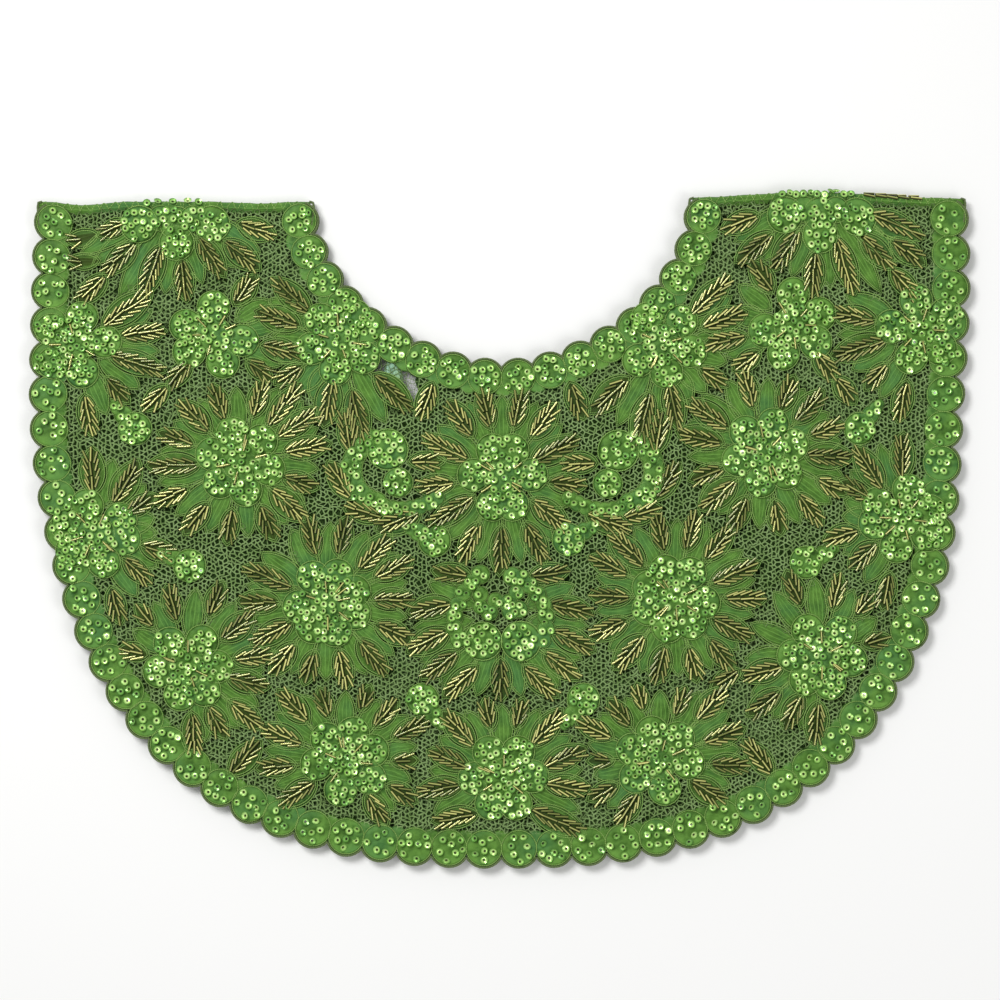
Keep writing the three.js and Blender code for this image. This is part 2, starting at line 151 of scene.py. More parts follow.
# at: the flower's centre on the left half, right: on the right half. A flower with no right stands once.
# petals: directions in degrees. leaves: (direction, from, to, lean), in degrees and mm from the centre.
FLOWERS = {
    "fold": dict(
        at=(-162.5, 165.5), right=(159.5, 165.5), petals=(), pads=FOLD_PADS,
        leaves=((199, 27, 54), (211, 42, 61), (224, 29, 50), (225, 51, 69), (250, 23, 50), (275, 29, 49),
                (302, 21, 43), (322, 31, 52), (343, 33, 51))),
    "upper_side": dict(
        at=(-212, 94), right=(210.5, 101), petals=(5, 80, 149, 221, 284),
        leaves=((35, 17, 45), (10, 23, 44), (342, 18, 46), (312, 24, 39), (281, 27, 46))),
    "upper": dict(
        at=(-144, 98.5), right=(146, 102.5), petals=(90, 160, 215, 289, 350),
        leaves=((57, 20, 37), (348, 25, 45), (323, 22, 36), (229, 18, 34), (229, 35, 50), (153, 25, 38))),
    "neck": dict(
        at=(-81, 95.5), right=(80.5, 94), petals=(59, 131, 195, 262, 325),
        leaves=((136, 21, 46), (159, 22, 44), (214, 23, 38), (260, 20, 43), (284, 26, 52), (315, 25, 49))),
    "middle": dict(
        at=(-130.5, 35), right=(132.5, 39.5), petals=(45, 105, 165, 225, 280, 345),
        leaves=((12, 23, 45), (33, 23, 46), (52, 23, 48), (74, 24, 42), (110, 23, 40), (135, 22, 42),
                (160, 25, 42), (184, 21, 45), (207, 30, 46), (232, 27, 45), (260, 25, 41), (294, 25, 42),
                (318, 21, 43), (340, 23, 40))),
    "middle_side": dict(
        at=(-202.5, -1), right=(202, 6.5), petals=(30, 105, 165, 215, 285, 350),
        leaves=((92, 21, 42), (58, 18, 42), (32, 19, 35), (345, 24, 41), (318, 19, 36), (285, 29, 46))),
    "lower": dict(
        at=(-87, -35.5), right=(87, -33.5), petals=(22, 70, 120, 188, 238, 285, 338),
        leaves=((2, 23, 42), (336, 27, 46), (310, 25, 46), (283, 25, 43), (255, 26, 42), (231, 27, 45),
                (208, 21, 43), (180, 25, 44), (157, 20, 45), (128, 25, 45), (103, 25, 44), (77, 25, 43),
                (46, 23, 46), (27, 27, 47))),
    "lower_side": dict(
        at=(-157, -67.5), right=(160.5, -62), petals=(60, 128, 190, 255, 305, 0),
        leaves=((103, 24, 41), (67, 28, 45), (38, 22, 42), (8, 24, 43), (345, 21, 41), (320, 28, 47),
                (297, 23, 40), (275, 24, 44), (165, 22, 34), (130, 27, 39))),
    "bottom": dict(
        at=(-78, -115), right=(79, -114.5), petals=(22, 75, 130, 185, 260, 325),
        leaves=((0, 24, 35), (26, 27, 45), (50, 23, 39), (73, 27, 39), (110, 24, 38), (133, 28, 48),
                (158, 24, 45), (184, 26, 44), (213, 19, 39), (303, 20, 37), (330, 25, 40))),
    "upper_centre": dict(
        at=(0.5, 27), petals=(70, 110, 175, 250, 290, 5),
        leaves=((77, 26, 45), (54, 25, 45), (27, 17, 42), (354, 24, 41), (322, 19, 41), (297, 26, 47),
                (269, 25, 48), (213, 18, 44), (243, 26, 47), (186, 25, 43), (153, 19, 44), (126, 26, 46),
                (103, 26, 45))),
    "lower_centre": dict(
        at=(-0.5, -43.5), petals=(), pads=CROWN_PADS,
        leaves=((42, 24, 42, -35), (8, 25, 46, -21), (343, 27, 49, -8), (322, 28, 49), (302, 27, 48, 14),
                (270, 21, 40), (238, 27, 48, -14), (218, 28, 49), (197, 27, 49, 8), (172, 25, 46, 21),
                (138, 24, 42, 35))),
    "bottom_centre": dict(
        at=(1, -123), petals=(60, 120, 182, 245, 295, 2),
        leaves=((17, 21, 43, 6), (351, 22, 43), (321, 21, 49, 15), (48, 22, 44), (76, 26, 40), (104, 26, 40),
                (133, 22, 44), (161, 19, 39, -5), (190, 22, 43), (220, 21, 42, -28))),
}
PETAL_REACH = 14.5
PETAL_RADIUS = 8.3
HEART_RADIUS = 9.5

DROPS = {
    "upper": dict(at=(-182, 51.5), right=(181.5, 51.5), tail=130),
    "middle": dict(at=(-156, -17), right=(152.5, -15.5), tail=155),
    "inner": dict(at=(-33.5, -4.5), right=(33.5, -4), tail=153),
    "lower": dict(at=(-39.5, -84), right=(41, -84), tail=306),
}
DROP_RADIUS = 8.2
DROP_NET_RADIUS = 6.5
DROP_SEQUIN_RADIUS = 6.8
DROP_MOST = 13
# A teardrop's tail: pads as (reach, radius), and sequins as (reach, degrees to one side).
DROP_TAIL_PADS = ((9.0, 4.6), (13.0, 3.6), (16.0, 2.6))
DROP_TAIL_SEQUINS = ((9.4, 8), (12.6, -5), (15.6, 2))

CURLS = {"curl": dict(at=(-58.5, 30.5), right=(60, 30))}
CURL_RADIUS = 16.5
# The pads of a curl's tail, as (x, y) in mm from its centre on the left half.
CURL_TAIL = ((0, -18), (4, -19), (8.5, -19.5), (13, -19), (17.5, -18), (22, -16), (26, -13.5))
# Leaves round a curl, as (base, tip) in mm from its centre on the left half.
CURL_LEAVES = (
    ((-10.3, 20.3), (10.8, 30.3)), ((6.8, 20.3), (26.3, 16.3)), ((13.3, 4.3), (29.3, 4.3)),
    ((-17, 10), (-20.5, 30)), ((-16.8, -13.3), (-28.3, 3.5)), ((-1.3, -23.3), (-18.8, -18.3)),
    ((16.8, -21.3), (-3.8, -28.8)),
)
# The leaf over the back layer's notch, as (base, tip) in mm.
SHEER_LEAF = ((-56, 83.5), (-51, 70))
SHEER_HALF_WIDTH = 4.4
# Leaves that stand alone on both halves, as (base, tip) in mm on the left half.
LONE_LEAVES = (
    ((-34.5, 73.5), (-40.3, 57)), ((-135.3, -120.8), (-122, -105)), ((-188, 155.5), (-201, 151)),
    ((-184, -34), (-172, -43)), ((-118, -70), (-106, -78)),
)
# Two leaves by the left fold that have lost all but a few of their beads.
WORN_LEAVES = (((-203.5, 151), (-216.5, 147.5)), ((-202.5, 137.5), (-216, 137)))

# ---- Spacings, cords and leaves, in mm ----
LEAF_GAP = 4.8
SEQUIN_GAP = 3.05
ROUND_GAP = 5.83
FILLER_HALF_WIDTH = 5.8
LEAF_CORD = 0.25
PETAL_CORD = 0.26
FOLD_CORD = 0.22
SATIN_CORD = 0.55

# ---- Small geometry ----


def polar(degrees, radius, centre=(0, 0)):
    angle = math.radians(degrees)
    return Vector((centre[0] + radius * math.cos(angle), centre[1] + radius * math.sin(angle)))


def spread(point):
    """Where a point of the pattern lies on this skirt."""
    x, y = point
    down = (PATTERN_FOLD_Y - y) / PATTERN_LENGTH
    return Vector((x * HEM_HALF_WIDTH / PATTERN_HALF_WIDTH, FOLD_Y - down * (FOLD_Y - HEM_BOTTOM)))


def both_halves(motifs):
    """Each motif as (name, centre, motif, mirrored), on the left half and on the right one."""
    for name, motif in motifs.items():
        if "right" in motif:
            yield f"{name}_left", spread(motif["at"]), motif, False
            yield f"{name}_right", spread(motif["right"]), motif, True
        else:
            yield name, spread(motif["at"]), motif, False


def turn(degrees, mirrored):
    return 180 - degrees if mirrored else degrees


def sided(point, mirrored):
    """A point of the left half as it lies on its own half."""
    return (-point[0] if mirrored else point[0], point[1])


def hem_half_width(y, inset=0.0):
    depth = (WIDEST_Y - HEM_BOTTOM if y < WIDEST_Y else HEM_SHOULDER_RISE) - inset
    share = min(1.0, abs(y - WIDEST_Y) / depth)
    return (HEM_HALF_WIDTH - inset) * (1 - share ** HEM_POWER) ** (1 / HEM_POWER)


def hem_line(inset):
    """The hem's oval without its scallops, from the left fold round the bottom to the right fold."""
    steps = 160
    heights = np.linspace(FOLD_Y, WIDEST_Y, steps, endpoint=False)
    side = [Vector((-hem_half_width(y, inset), y)) for y in heights]
    for angle in np.linspace(0, math.pi / 2, steps + 1):
        x = -(HEM_HALF_WIDTH - inset) * max(0.0, math.cos(angle)) ** (2 / HEM_POWER)
        y = WIDEST_Y - (WIDEST_Y - HEM_BOTTOM - inset) * math.sin(angle) ** (2 / HEM_POWER)
        side.append(Vector((x, y)))
    return side + [Vector((-p.x, p.y)) for p in reversed(side[:-1])]


def neck_line(outset):
    """The neck's oval without its scallops, from the left fold round the bottom to the right fold."""
    line = []
    for angle in np.linspace(math.pi, 0, 241):
        across = math.copysign(abs(math.cos(angle)) ** (2 / NECK_POWER), math.cos(angle))
        down = max(0.0, math.sin(angle)) ** (2 / NECK_POWER)
        line.append(Vector(((NECK_HALF_WIDTH + outset) * across, FOLD_Y - (NECK_DEPTH + outset) * down)))
    return line


def evenly(line, count):
    """The line cut into equal lengths, as count + 1 points."""
    lengths = np.concatenate([[0], np.cumsum([(b - a).length for a, b in zip(line, line[1:])])])
    wanted = np.linspace(0, lengths[-1], count + 1)
    xs = np.interp(wanted, lengths, [p.x for p in line])
    ys = np.interp(wanted, lengths, [p.y for p in line])
    return [Vector((x, y)) for x, y in zip(xs, ys)]


def in_notch(x, y, grow=0.0):
    """Inside the small notch in the back layer's neck edge."""
    return abs(x - NOTCH_X) < NOTCH_WIDTH / 2 + grow and y > NOTCH_LOW_Y - grow


def scallops(kind):
    """Each scallop of an edge, as (centre, outward direction, radius)."""
    edge = EDGES[kind]
    notches = evenly(hem_line(0) if kind == "hem" else neck_line(0), edge["count"])
    for a, b in zip(notches, notches[1:]):
        along = (b - a).normalized()
        out = Vector((-along.y, along.x)) * edge["facing"]
        yield (a + b) / 2 - out * edge["inside"], out, edge["radius"]


# ---- Meshes ----


def frame_at(point, z, direction=0.0, lift=0.0, roll=0.0):
    """A place on the lace, turned to a direction, with its far end lifted, in degrees."""
    place = Matrix.Translation((point[0], point[1], z))
    return (place @ Matrix.Rotation(math.radians(direction), 4, "Z")
            @ Matrix.Rotation(-math.radians(lift), 4, "Y") @ Matrix.Rotation(math.radians(roll), 4, "X"))


def sized(x, y):
    """A scale along a template's length and across it, with its height kept."""
    return Matrix.Diagonal((x, y, 1.0, 1.0))


def stamp(work, template, matrix):
    """Adds a copy of a template mesh to a bmesh."""
    copy = template.copy()
    copy.transform(matrix)
    work.from_mesh(copy)
    bpy.data.meshes.remove(copy)


def template_from(work, name):
    mesh = bpy.data.meshes.new(name)
    work.to_mesh(mesh)
    work.free()
    return mesh


def write_uv(work, rule):
    layer = work.loops.layers.uv.verify()
    for face in work.faces:
        for loop in face.loops:
            loop[layer].uv = rule(loop.vert)


def smooth(work):
    for face in work.faces:
        face.smooth = True


def point_faces(work, axis):
    """Turns all the faces round if most of them point down the axis."""
    if sum(getattr(face.normal, axis) for face in work.faces) < 0:
        bmesh.ops.reverse_faces(work, faces=work.faces)


def sequin_template(tone, diameter):
    """A cup sequin spun from its section, its hole closed by a disk that the material paints near-black:
    painted shade.

    UV: distance from the middle, and tone.
    """
    r = diameter / 2
    section = ((0, 0), (0.5 * r, 0), (r, 0.42 * r), (0.58 * r, 0.14 * r), (0.33 * r, 0.17 * r),
               (0.27 * r, 0.05 * r), (0, 0.05 * r))
    work = bmesh.new()
    points = [work.verts.new((x, 0, z)) for x, z in section]
    rim = [work.edges.new(pair) for pair in zip(points, points[1:])]
    bmesh.ops.spin(work, geom=points + rim, cent=(0, 0, 0), axis=(0, 0, 1), angle=math.tau, steps=10,
                   use_merge=True)
    bmesh.ops.remove_doubles(work, verts=work.verts, dist=0.001)
    bmesh.ops.recalc_face_normals(work, faces=work.faces)
    write_uv(work, lambda vert: (min(1.0, vert.co.xy.length / r), tone))
    return template_from(work, f"sequin_{tone:.2f}")


def bugle_template(tone, diameter):
    """A bugle bead one unit long with recessed ends. UV: tone, which sets how strong the painted highlight
    along its top is, and how far up its side.
    """
    r = diameter / 2
    work = bmesh.new()
    bmesh.ops.create_cone(work, cap_ends=True, segments=8, radius1=r, radius2=r, depth=1)
    bmesh.ops.rotate(work, verts=work.verts, cent=(0, 0, 0), matrix=Matrix.Rotation(math.pi / 2, 3, "Y"))
    bmesh.ops.translate(work, verts=work.verts, vec=(0.5, 0, 0))
    ends = [face for face in work.faces if len(face.verts) == 8]
    bmesh.ops.inset_individual(work, faces=ends, thickness=0.35 * r, depth=-0.04)
    for face in work.faces:
        face.smooth = abs(face.normal.x) < 0.5
    for edge in work.edges:
        edge.smooth = all(face.smooth for face in edge.link_faces)
    write_uv(work, lambda vert: (tone, 0.5 + 0.5 * vert.co.z / r))
    return template_from(work, f"bugle_{tone:.2f}")


def leaf_taper(along, least=0.0):
    """A leaf's half width at a share of its length, as a share of its widest."""
    return max(least, math.sin(math.pi * min(0.9999, max(0.0, along)) ** 0.92)) ** 0.72


def leaf_template(beaded):
    """An organza leaf, one unit long and two wide, puffed on both sides of its midrib. UV: along, across."""
    blunt = 0.03
    work = bmesh.new()
    bmesh.ops.create_grid(work, x_segments=10, y_segments=4, size=0.5)
    for vert in work.verts:
        along, across = vert.co.x + 0.5, 2 * vert.co.y
        taper = leaf_taper(along, blunt)
        puff = 0.45 * (1 - across ** 2) - 0.3 * (1 - abs(across)) ** 2
        vert.co = (along, across * taper, puff * taper)
    bmesh.ops.recalc_face_normals(work, faces=work.faces)
    point_faces(work, "z")
    write_uv(work, lambda vert: (vert.co.x, 0.5 + 0.5 * vert.co.y / leaf_taper(vert.co.x, blunt)))
    bmesh.ops.solidify(work, geom=work.faces, thickness=0.22)
    smooth(work)
    for face in work.faces:
        face.material_index = 1 if beaded else 0
    return template_from(work, "leaf")


def pad_template():
    """A round organza pad of one unit's radius, puffed. UV: its own plane."""
    work = bmesh.new()
    bmesh.ops.create_circle(work, cap_ends=True, segments=18, radius=1)
    for thickness, depth in ((0.16, 0.35), (0.3, 0.2), (0.25, 0.05)):
        top = max(work.faces, key=lambda face: len(face.verts))
        bmesh.ops.inset_individual(work, faces=[top], thickness=thickness, depth=depth)
    point_faces(work, "z")
    write_uv(work, lambda vert: (0.5 + 0.5 * vert.co.x, 0.5 + 0.06 * vert.co.y))
    bmesh.ops.solidify(work, geom=work.faces, thickness=0.22)
    smooth(work)
    return template_from(work, "pad")


def tube(work, path, radius, sides=6, closed=False, flat=1.0):
    """A cord along (x, y, z) points: a grid rolled round their line. UV: distance along, and way round."""
    count = len(path) if closed else len(path) - 1
    made = bmesh.ops.create_grid(work, x_segments=count, y_segments=sides, size=0.5)["verts"]
    layer = work.loops.layers.uv.verify()
    points = [Vector(p) for p in path]
    lengths = [0.0]
    for i in range(count):
        lengths.append(lengths[-1] + (points[(i + 1) % len(points)] - points[i]).length)
    places = {}
    for vert in made:
        i, j = round((vert.co.x + 0.5) * count), round((vert.co.y + 0.5) * sides)
        at = i % len(points)
        ahead = points[(at + 1) % len(points)] if closed else points[min(at + 1, len(points) - 1)]
        behind = points[at - 1] if closed or at else points[0]
        along = (ahead - behind).normalized()
        side = Vector((-along.y, along.x, 0)).normalized()
        around = math.tau * j / sides
        places[vert] = (lengths[i], j / sides)
        up = Vector((0, 0, flat * radius * math.sin(around)))
        vert.co = points[at] + side * (radius * math.cos(around)) + up
    for face in {face for vert in made for face in vert.link_faces}:
        face.smooth = True
        for loop in face.loops:
            loop[layer].uv = places[loop.vert]
    bmesh.ops.remove_doubles(work, verts=made, dist=0.0005)


def cord_outline(points, radius, name):
    """A closed cord through the points, as a template."""
    work = bmesh.new()
    tube(work, points, radius, sides=4, closed=True)
    bmesh.ops.recalc_face_normals(work, faces=work.faces)
    return template_from(work, name)


# ---- Settling a piece into the frame ----


def settle(co, back):
    """Takes points in mm, as in the front layer, to the frame in metres and to the way the cloth lies."""
    x, y, z = co[:, 0].copy(), co[:, 1].copy(), co[:, 2].copy()
    if back:
        z = -np.where(z > PRESSED_Z, PRESSED_Z + PRESSED_SHARE * (z - PRESSED_Z), z)

    def rise(value, start, width):
        share = np.clip((value - start) / width, 0, 1)
        return share * share * (3 - 2 * share)

    def bump(value, middle, width):
        return np.exp(-(((value - middle) / width) ** 2))

    near_fold = rise(y, 70, 95)
    down = bump(y, 52, 50)
    new_x = x - 3.2 * down * rise(x, 120, 90) - 1.8 * down * rise(-x, 120, 90)
    right_fold = 3.3 * bump(x, 155, 44)
    left_fold = 1.4 * rise(-x, 60, 40)
    dips = (1.8 * bump(x, -209, 12), 0.9 * bump(x, -122, 14))
    new_y = y + near_fold * (right_fold - left_fold - dips[0] - dips[1])
    long_wave = 0.22 * np.sin(x / 31 + 1.3) * np.cos(y / 27)
    short_wave = 0.13 * np.sin((x + y) / 17) * rise(-y, -FOLD_Y, 30)
    new_z = MIDDLE_Z + z + (0.35 + long_wave + short_wave) * rise(-y, -FOLD_Y, 14)
    return np.column_stack([new_x, new_y, new_z]) * MM


def make_piece(name, work, materials, body, nodes=(), back=False):
    """Turns a bmesh in mm into a finished piece that rides on a body and stands for its CAD nodes."""
    mesh = bpy.data.meshes.new(name)
    if back:
        bmesh.ops.reverse_faces(work, faces=work.faces)
    work.to_mesh(mesh)
    work.free()
    co = np.zeros(len(mesh.vertices) * 3)
    mesh.vertices.foreach_get("co", co)
    mesh.vertices.foreach_set("co", settle(co.reshape(-1, 3), back).ravel())
    for material in materials:
        mesh.materials.append(material)
    obj = bpy.data.objects.new(name, mesh)
    bpy.context.scene.collection.objects.link(obj)
    if body:
        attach(obj, body)
    shown = [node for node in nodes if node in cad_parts]
    if shown:
        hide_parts(*shown)
    return obj


LAYERS = (("front", "front_layer", False), ("back", "back_layer", True))

# ---- Materials ----


class Recipe:
    """A material's node tree, with short ways to add and link nodes."""

    def __init__(self, name):
        self.material = bpy.data.materials.new(name)
        self.material.use_nodes = True
        self.nodes = self.material.node_tree.nodes
        self.links = self.material.node_tree.links
        self.shader = self.nodes["Principled BSDF"]
        self.places = self.node("TexCoord").outputs

    def node(self, kind, **values):
        made = self.nodes.new(f"ShaderNode{kind}")
        for key, value in values.items():
            if hasattr(made, key):
                setattr(made, key, value)
            else:
                made.inputs[key.replace("_", " ")].default_value = value
        return made

    def link(self, source, target):
        self.links.new(source, target)

    def noise(self, scale, detail, **values):
        """A noise over the piece's own place."""
        made = self.node("TexNoise", Scale=scale, Detail=detail, **values)
        self.link(self.places["Object"], made.inputs["Vector"])
        return made.outputs["Fac"]

    def split_uv(self):
        made = self.node("SeparateXYZ")
        self.link(self.places["UV"], made.inputs[0])
        return made.outputs

    def ramp(self, source, stops):
        made = self.nodes.new("ShaderNodeValToRGB")
        elements = made.color_ramp.elements
        for i, (at, colour) in enumerate(stops):
            element = elements[i] if i < 2 else elements.new(at)
            element.position = at
            element.color = (*colour, 1)
        self.link(source, made.inputs["Fac"])
        return made.outputs["Color"]

    def maths(self, operation, a, b=None):
        made = self.node("Math", operation=operation)
        for i, value in enumerate((a, b)):
            if value is None:
                continue
            if isinstance(value, (int, float)):
                made.inputs[i].default_value = value
            else:
                self.link(value, made.inputs[i])
        return made.outputs[0]

    def mix(self, share, a, b, blend="MIX"):
        made = self.node("Mix", data_type="RGBA", blend_type=blend)
        for socket, value in ((made.inputs["Factor"], share), (made.inputs[6], a), (made.inputs[7], b)):
            if isinstance(value, (int, float)):
                socket.default_value = value
            elif isinstance(value, tuple):
                socket.default_value = (*value, 1)
            else:
                self.link(value, socket)
        return made.outputs[2]

    def bump(self, height, distance, strength=1.0):
        made = self.node("Bump", Distance=distance, Strength=strength)
        self.link(height, made.inputs["Height"])
        self.link(made.outputs["Normal"], self.shader.inputs["Normal"])

    def colour(self, socket):
        self.link(socket, self.shader.inputs["Base Color"])

    def set(self, **values):
        for key, value in values.items():
            self.shader.inputs[key.replace("_", " ")].default_value = value


# How many raised threads lie side by side across a leaf.
STRANDS = 11.0
LEAF_DEEP = (0.043, 0.12, 0.014)
LEAF_LIGHT = (0.125, 0.28, 0.042)


def grey(value):
    return (value, value, value)


def organza_material(name, deep, light, shade=0.0):
    """Sheer satin organza: fine threads that run along the leaf, and soft changes of green.

    The shade darkens the middle of a leaf under its beads: painted shade.
    """
    r = Recipe(name)
    stretch = r.node("Mapping")
    stretch.inputs["Scale"].default_value = (3.0, 34.0, 1.0)
    r.link(r.places["UV"], stretch.inputs["Vector"])
    threads = r.node("TexNoise", Scale=1.0, Detail=3.0)
    r.link(stretch.outputs["Vector"], threads.inputs["Vector"])
    strands = r.node("TexWave", wave_type="BANDS", bands_direction="Y", Scale=STRANDS / 6.28, Distortion=1.6,
                     Detail=2.0)
    strands.inputs["Detail Scale"].default_value = 2.5
    r.link(r.places["UV"], strands.inputs["Vector"])
    fine = r.ramp(threads.outputs["Fac"], ((0.4, grey(0)), (0.66, grey(0.55))))
    raised = r.ramp(strands.outputs["Fac"], ((0.6, grey(0)), (0.95, grey(0.8))))
    lines = r.mix(1.0, fine, raised, "LIGHTEN")
    green = r.ramp(r.noise(130.0, 5.0, Roughness=0.65), ((0.36, deep), (0.64, light)))
    green = r.mix(r.maths("MULTIPLY", lines, 0.65), green, tuple(min(1, 1.6 * c + 0.02) for c in light))
    weave = r.noise(1800.0, 1.0)
    green = r.mix(r.maths("MULTIPLY", weave, 0.35), green, tuple(0.4 * c for c in deep))
    cool_share = r.ramp(r.noise(48.0, 2.0), ((0.45, grey(0)), (0.72, grey(0.45))))
    green = r.mix(cool_share, green, (0.45 * light[0], 0.72 * light[1], 1.7 * light[2]))
    # Painted shade down the middle of a beaded leaf, under the beads.
    if shade:
        across = r.maths("ABSOLUTE", r.maths("SUBTRACT", r.split_uv()[1], 0.5))
        under = r.ramp(across, ((0.12, grey(1)), (0.4, grey(0))))
        green = r.mix(r.maths("MULTIPLY", under, shade), green, (0.03, 0.038, 0.005))
    r.colour(green)
    r.set(Roughness=0.5, Specular_IOR_Level=0.12, Sheen_Weight=0.08, Sheen_Roughness=0.4)
    r.set(Sheen_Tint=(0.5, 0.9, 0.35, 1))
    r.bump(r.maths("ADD", lines, r.maths("MULTIPLY", weave, 0.4)), 0.00025)
    return r.material


def cord_material(name, dark, light, pitch):
    """A twisted thread: slanted plies from the cord's own UV."""
    r = Recipe(name)
    along, around, _ = r.split_uv()
    turned = r.maths("ADD", r.maths("DIVIDE", along, pitch), around)
    twist = r.maths("SINE", r.maths("MULTIPLY", turned, math.tau))
    plies = r.maths("ADD", r.maths("MULTIPLY", twist, 0.5), 0.5)
    share = r.maths("ADD", r.maths("MULTIPLY", plies, 0.6), r.maths("MULTIPLY", r.noise(300.0, 2.0), 0.4))
    r.colour(r.ramp(share, ((0.2, dark), (0.8, light))))
    r.set(Roughness=0.5, Specular_IOR_Level=0.12)
    r.bump(plies, 0.0002)
    return r.material


def sequin_material():
    """Glossy lime plastic with a tone of its own on each sequin. Its colour paints a near-black hole and a
    darker greener rim as painted shade, and a light ring as painted highlight.
    """
    r = Recipe("lime_sequin")
    outward, tone, _ = r.split_uv()
    # The cup's colour by distance from the middle: a near-black hole and a darker greener rim are painted
    # shade, the light ring between is a painted highlight.
    cup = r.ramp(outward, ((0.26, (0.016, 0.018, 0.004)), (0.34, (0.38, 0.58, 0.1)),
                           (0.5, (0.7, 0.94, 0.38)), (0.76, (0.44, 0.73, 0.19)), (1.0, (0.15, 0.36, 0.05))))
    tint = r.ramp(tone, ((0.0, (0.38, 0.57, 0.34)), (0.35, (0.75, 0.87, 0.63)), (1.0, (1.2, 1.15, 1.25))))
    r.colour(r.mix(1.0, cup, tint, "MULTIPLY"))
    film = r.maths("ADD", r.maths("MULTIPLY", r.noise(900.0, 1.0), 0.2), 0.2)
    r.link(film, r.shader.inputs["Roughness"])
    r.set(Coat_Weight=0.6, Coat_Roughness=0.14, Metallic=0.45, Specular_IOR_Level=0.5)
    return r.material


def bugle_material():
    """Olive glass tubes with dark sides and a pale gold stripe along the top, a painted highlight."""
    r = Recipe("olive_bugle")
    tone, height, _ = r.split_uv()
    # Colour by height round the tube: dark sides and a pale stripe along the top, a painted highlight; the
    # tone mixes a weak and a strong one.
    bright = r.ramp(height, ((0.0, (0.012, 0.014, 0.003)), (0.85, (0.06, 0.048, 0.012)),
                             (0.93, (0.46, 0.48, 0.11)), (1.0, (0.9, 0.9, 0.34))))
    dull = r.ramp(height, ((0.0, (0.01, 0.012, 0.003)), (0.85, (0.032, 0.033, 0.007)),
                           (0.93, (0.14, 0.17, 0.03)), (1.0, (0.27, 0.32, 0.07))))
    r.colour(r.mix(tone, dull, bright))
    specks = r.maths("ADD", r.maths("MULTIPLY", r.noise(1500.0, 1.0), 0.12), 0.08)
    r.link(specks, r.shader.inputs["Roughness"])
    r.set(Coat_Weight=0.5, Coat_Roughness=0.05, Metallic=0.2)
    return r.material


def net_material():
    """Matte needle-lace thread, in uneven greens."""
    r = Recipe("net_thread")
    fibres = r.noise(2600.0, 1.0)
    share = r.maths("ADD", r.maths("MULTIPLY", r.noise(140.0, 3.0), 0.7), r.maths("MULTIPLY", fibres, 0.3))
    r.colour(r.ramp(share, ((0.3, (0.14, 0.235, 0.065)), (0.7, (0.275, 0.4, 0.165)))))
    r.set(Roughness=0.7, Specular_IOR_Level=0.08)
    r.bump(fibres, 0.0001)
    return r.material


# Each finish's maker and what it takes.
FINISHES = {
    "organza": (organza_material, "green_organza", LEAF_DEEP, LEAF_LIGHT),
    # The beaded leaves' organza has painted shade down its middle, under the beads.
    "leaf_organza": (organza_material, "beaded_leaf_organza", LEAF_DEEP, LEAF_LIGHT, 0.78),
    # The back layer's organza is a little darker than the front's: painted shade for the shade between the
    # layers, and for the shadowed tops of the shoulder rolls.
    "shaded_organza": (organza_material, "green_organza_painted_shade", (0.046, 0.125, 0.013), (0.11, 0.25, 0.036)),
    # The sheer leaf's pale green is painted light, for light that comes through it.
    "sheer_organza_painted_light": (organza_material, "sheer_organza_painted_light", (0.3, 0.5, 0.22), (0.42, 0.62, 0.33)),
    # The pocket rounds are near-black: painted shade for the shade between the layers.
    "round_organza": (organza_material, "dark_round_organza_painted_shade", (0.02, 0.055, 0.005), (0.042, 0.1, 0.011)),
    "cord": (cord_material, "outline_cord", (0.15, 0.3, 0.05), (0.34, 0.54, 0.16), 1.1),
    "edge": (cord_material, "satin_edge_cord", (0.07, 0.11, 0.035), (0.18, 0.235, 0.1), 0.8),
    "sequin": (sequin_material,),
    "bugle": (bugle_material,),
    "net": (net_material,),
}
MADE = {}


def finish_of(name):
    """Each material is made once."""
    if name not in MADE:
        maker, *values = FINISHES[name]
        MADE[name] = maker(*values)
    return MADE[name]


# ---- The net ground ----

# How far inside the two edges the net ends, how far it reaches under a pad, and a leaf's half width on it.
NET_HEM_INSET = 6
NET_NECK_OUTSET = 5
NET_OVERLAP = 1
NET_LEAF_HALF_WIDTH = 4.2
# The leaves of each layer, by flower, once they have been sorted out.
SEWN = {}


def motif_shapes(back):
    """Everything that covers the net: discs as (x, y, radius) and leaves as (base, tip)."""
    discs = [(*centre, DROP_NET_RADIUS) for _, centre, _, _ in both_halves(DROPS)]
    for _, centre, motif, mirrored in both_halves(FLOWERS):
        if "pads" not in motif:
            discs.append((*centre, HEART_RADIUS))
        discs += [(*at, radius - NET_OVERLAP) for at, radius in flower_pads(centre, motif, mirrored)]
    for kind in EDGES:
        discs += [(*centre, radius - NET_OVERLAP) for centre, _, radius in scallops(kind)]
    leaves = [*all_leaves(back), *((base, tip) for base, tip, _ in filler_leaves(back))]
    return discs, leaves


def flower_pads(centre, motif, mirrored):
    """A flower's pads, as (centre, radius)."""
    for x, y, radius in motif.get("pads", ()):
        yield centre + Vector(sided((x, y), mirrored)), radius
    for petal in motif["petals"]:
        yield polar(turn(petal, mirrored), PETAL_REACH, centre), PETAL_RADIUS


def all_leaves(back):
    """Every leaf's base and tip."""
    for name in [name for name, *_ in both_halves(FLOWERS)] + ["filling", "worn"]:
        yield from leaves_of(name, back)


def gap_between(one, other):
    """The least distance between two leaves' midribs, taken at points along their middles."""
    steps = [0.15 + k / 10 for k in range(8)]
    return min((one[0].lerp(one[1], a) - other[0].lerp(other[1], b)).length for a in steps for b in steps)


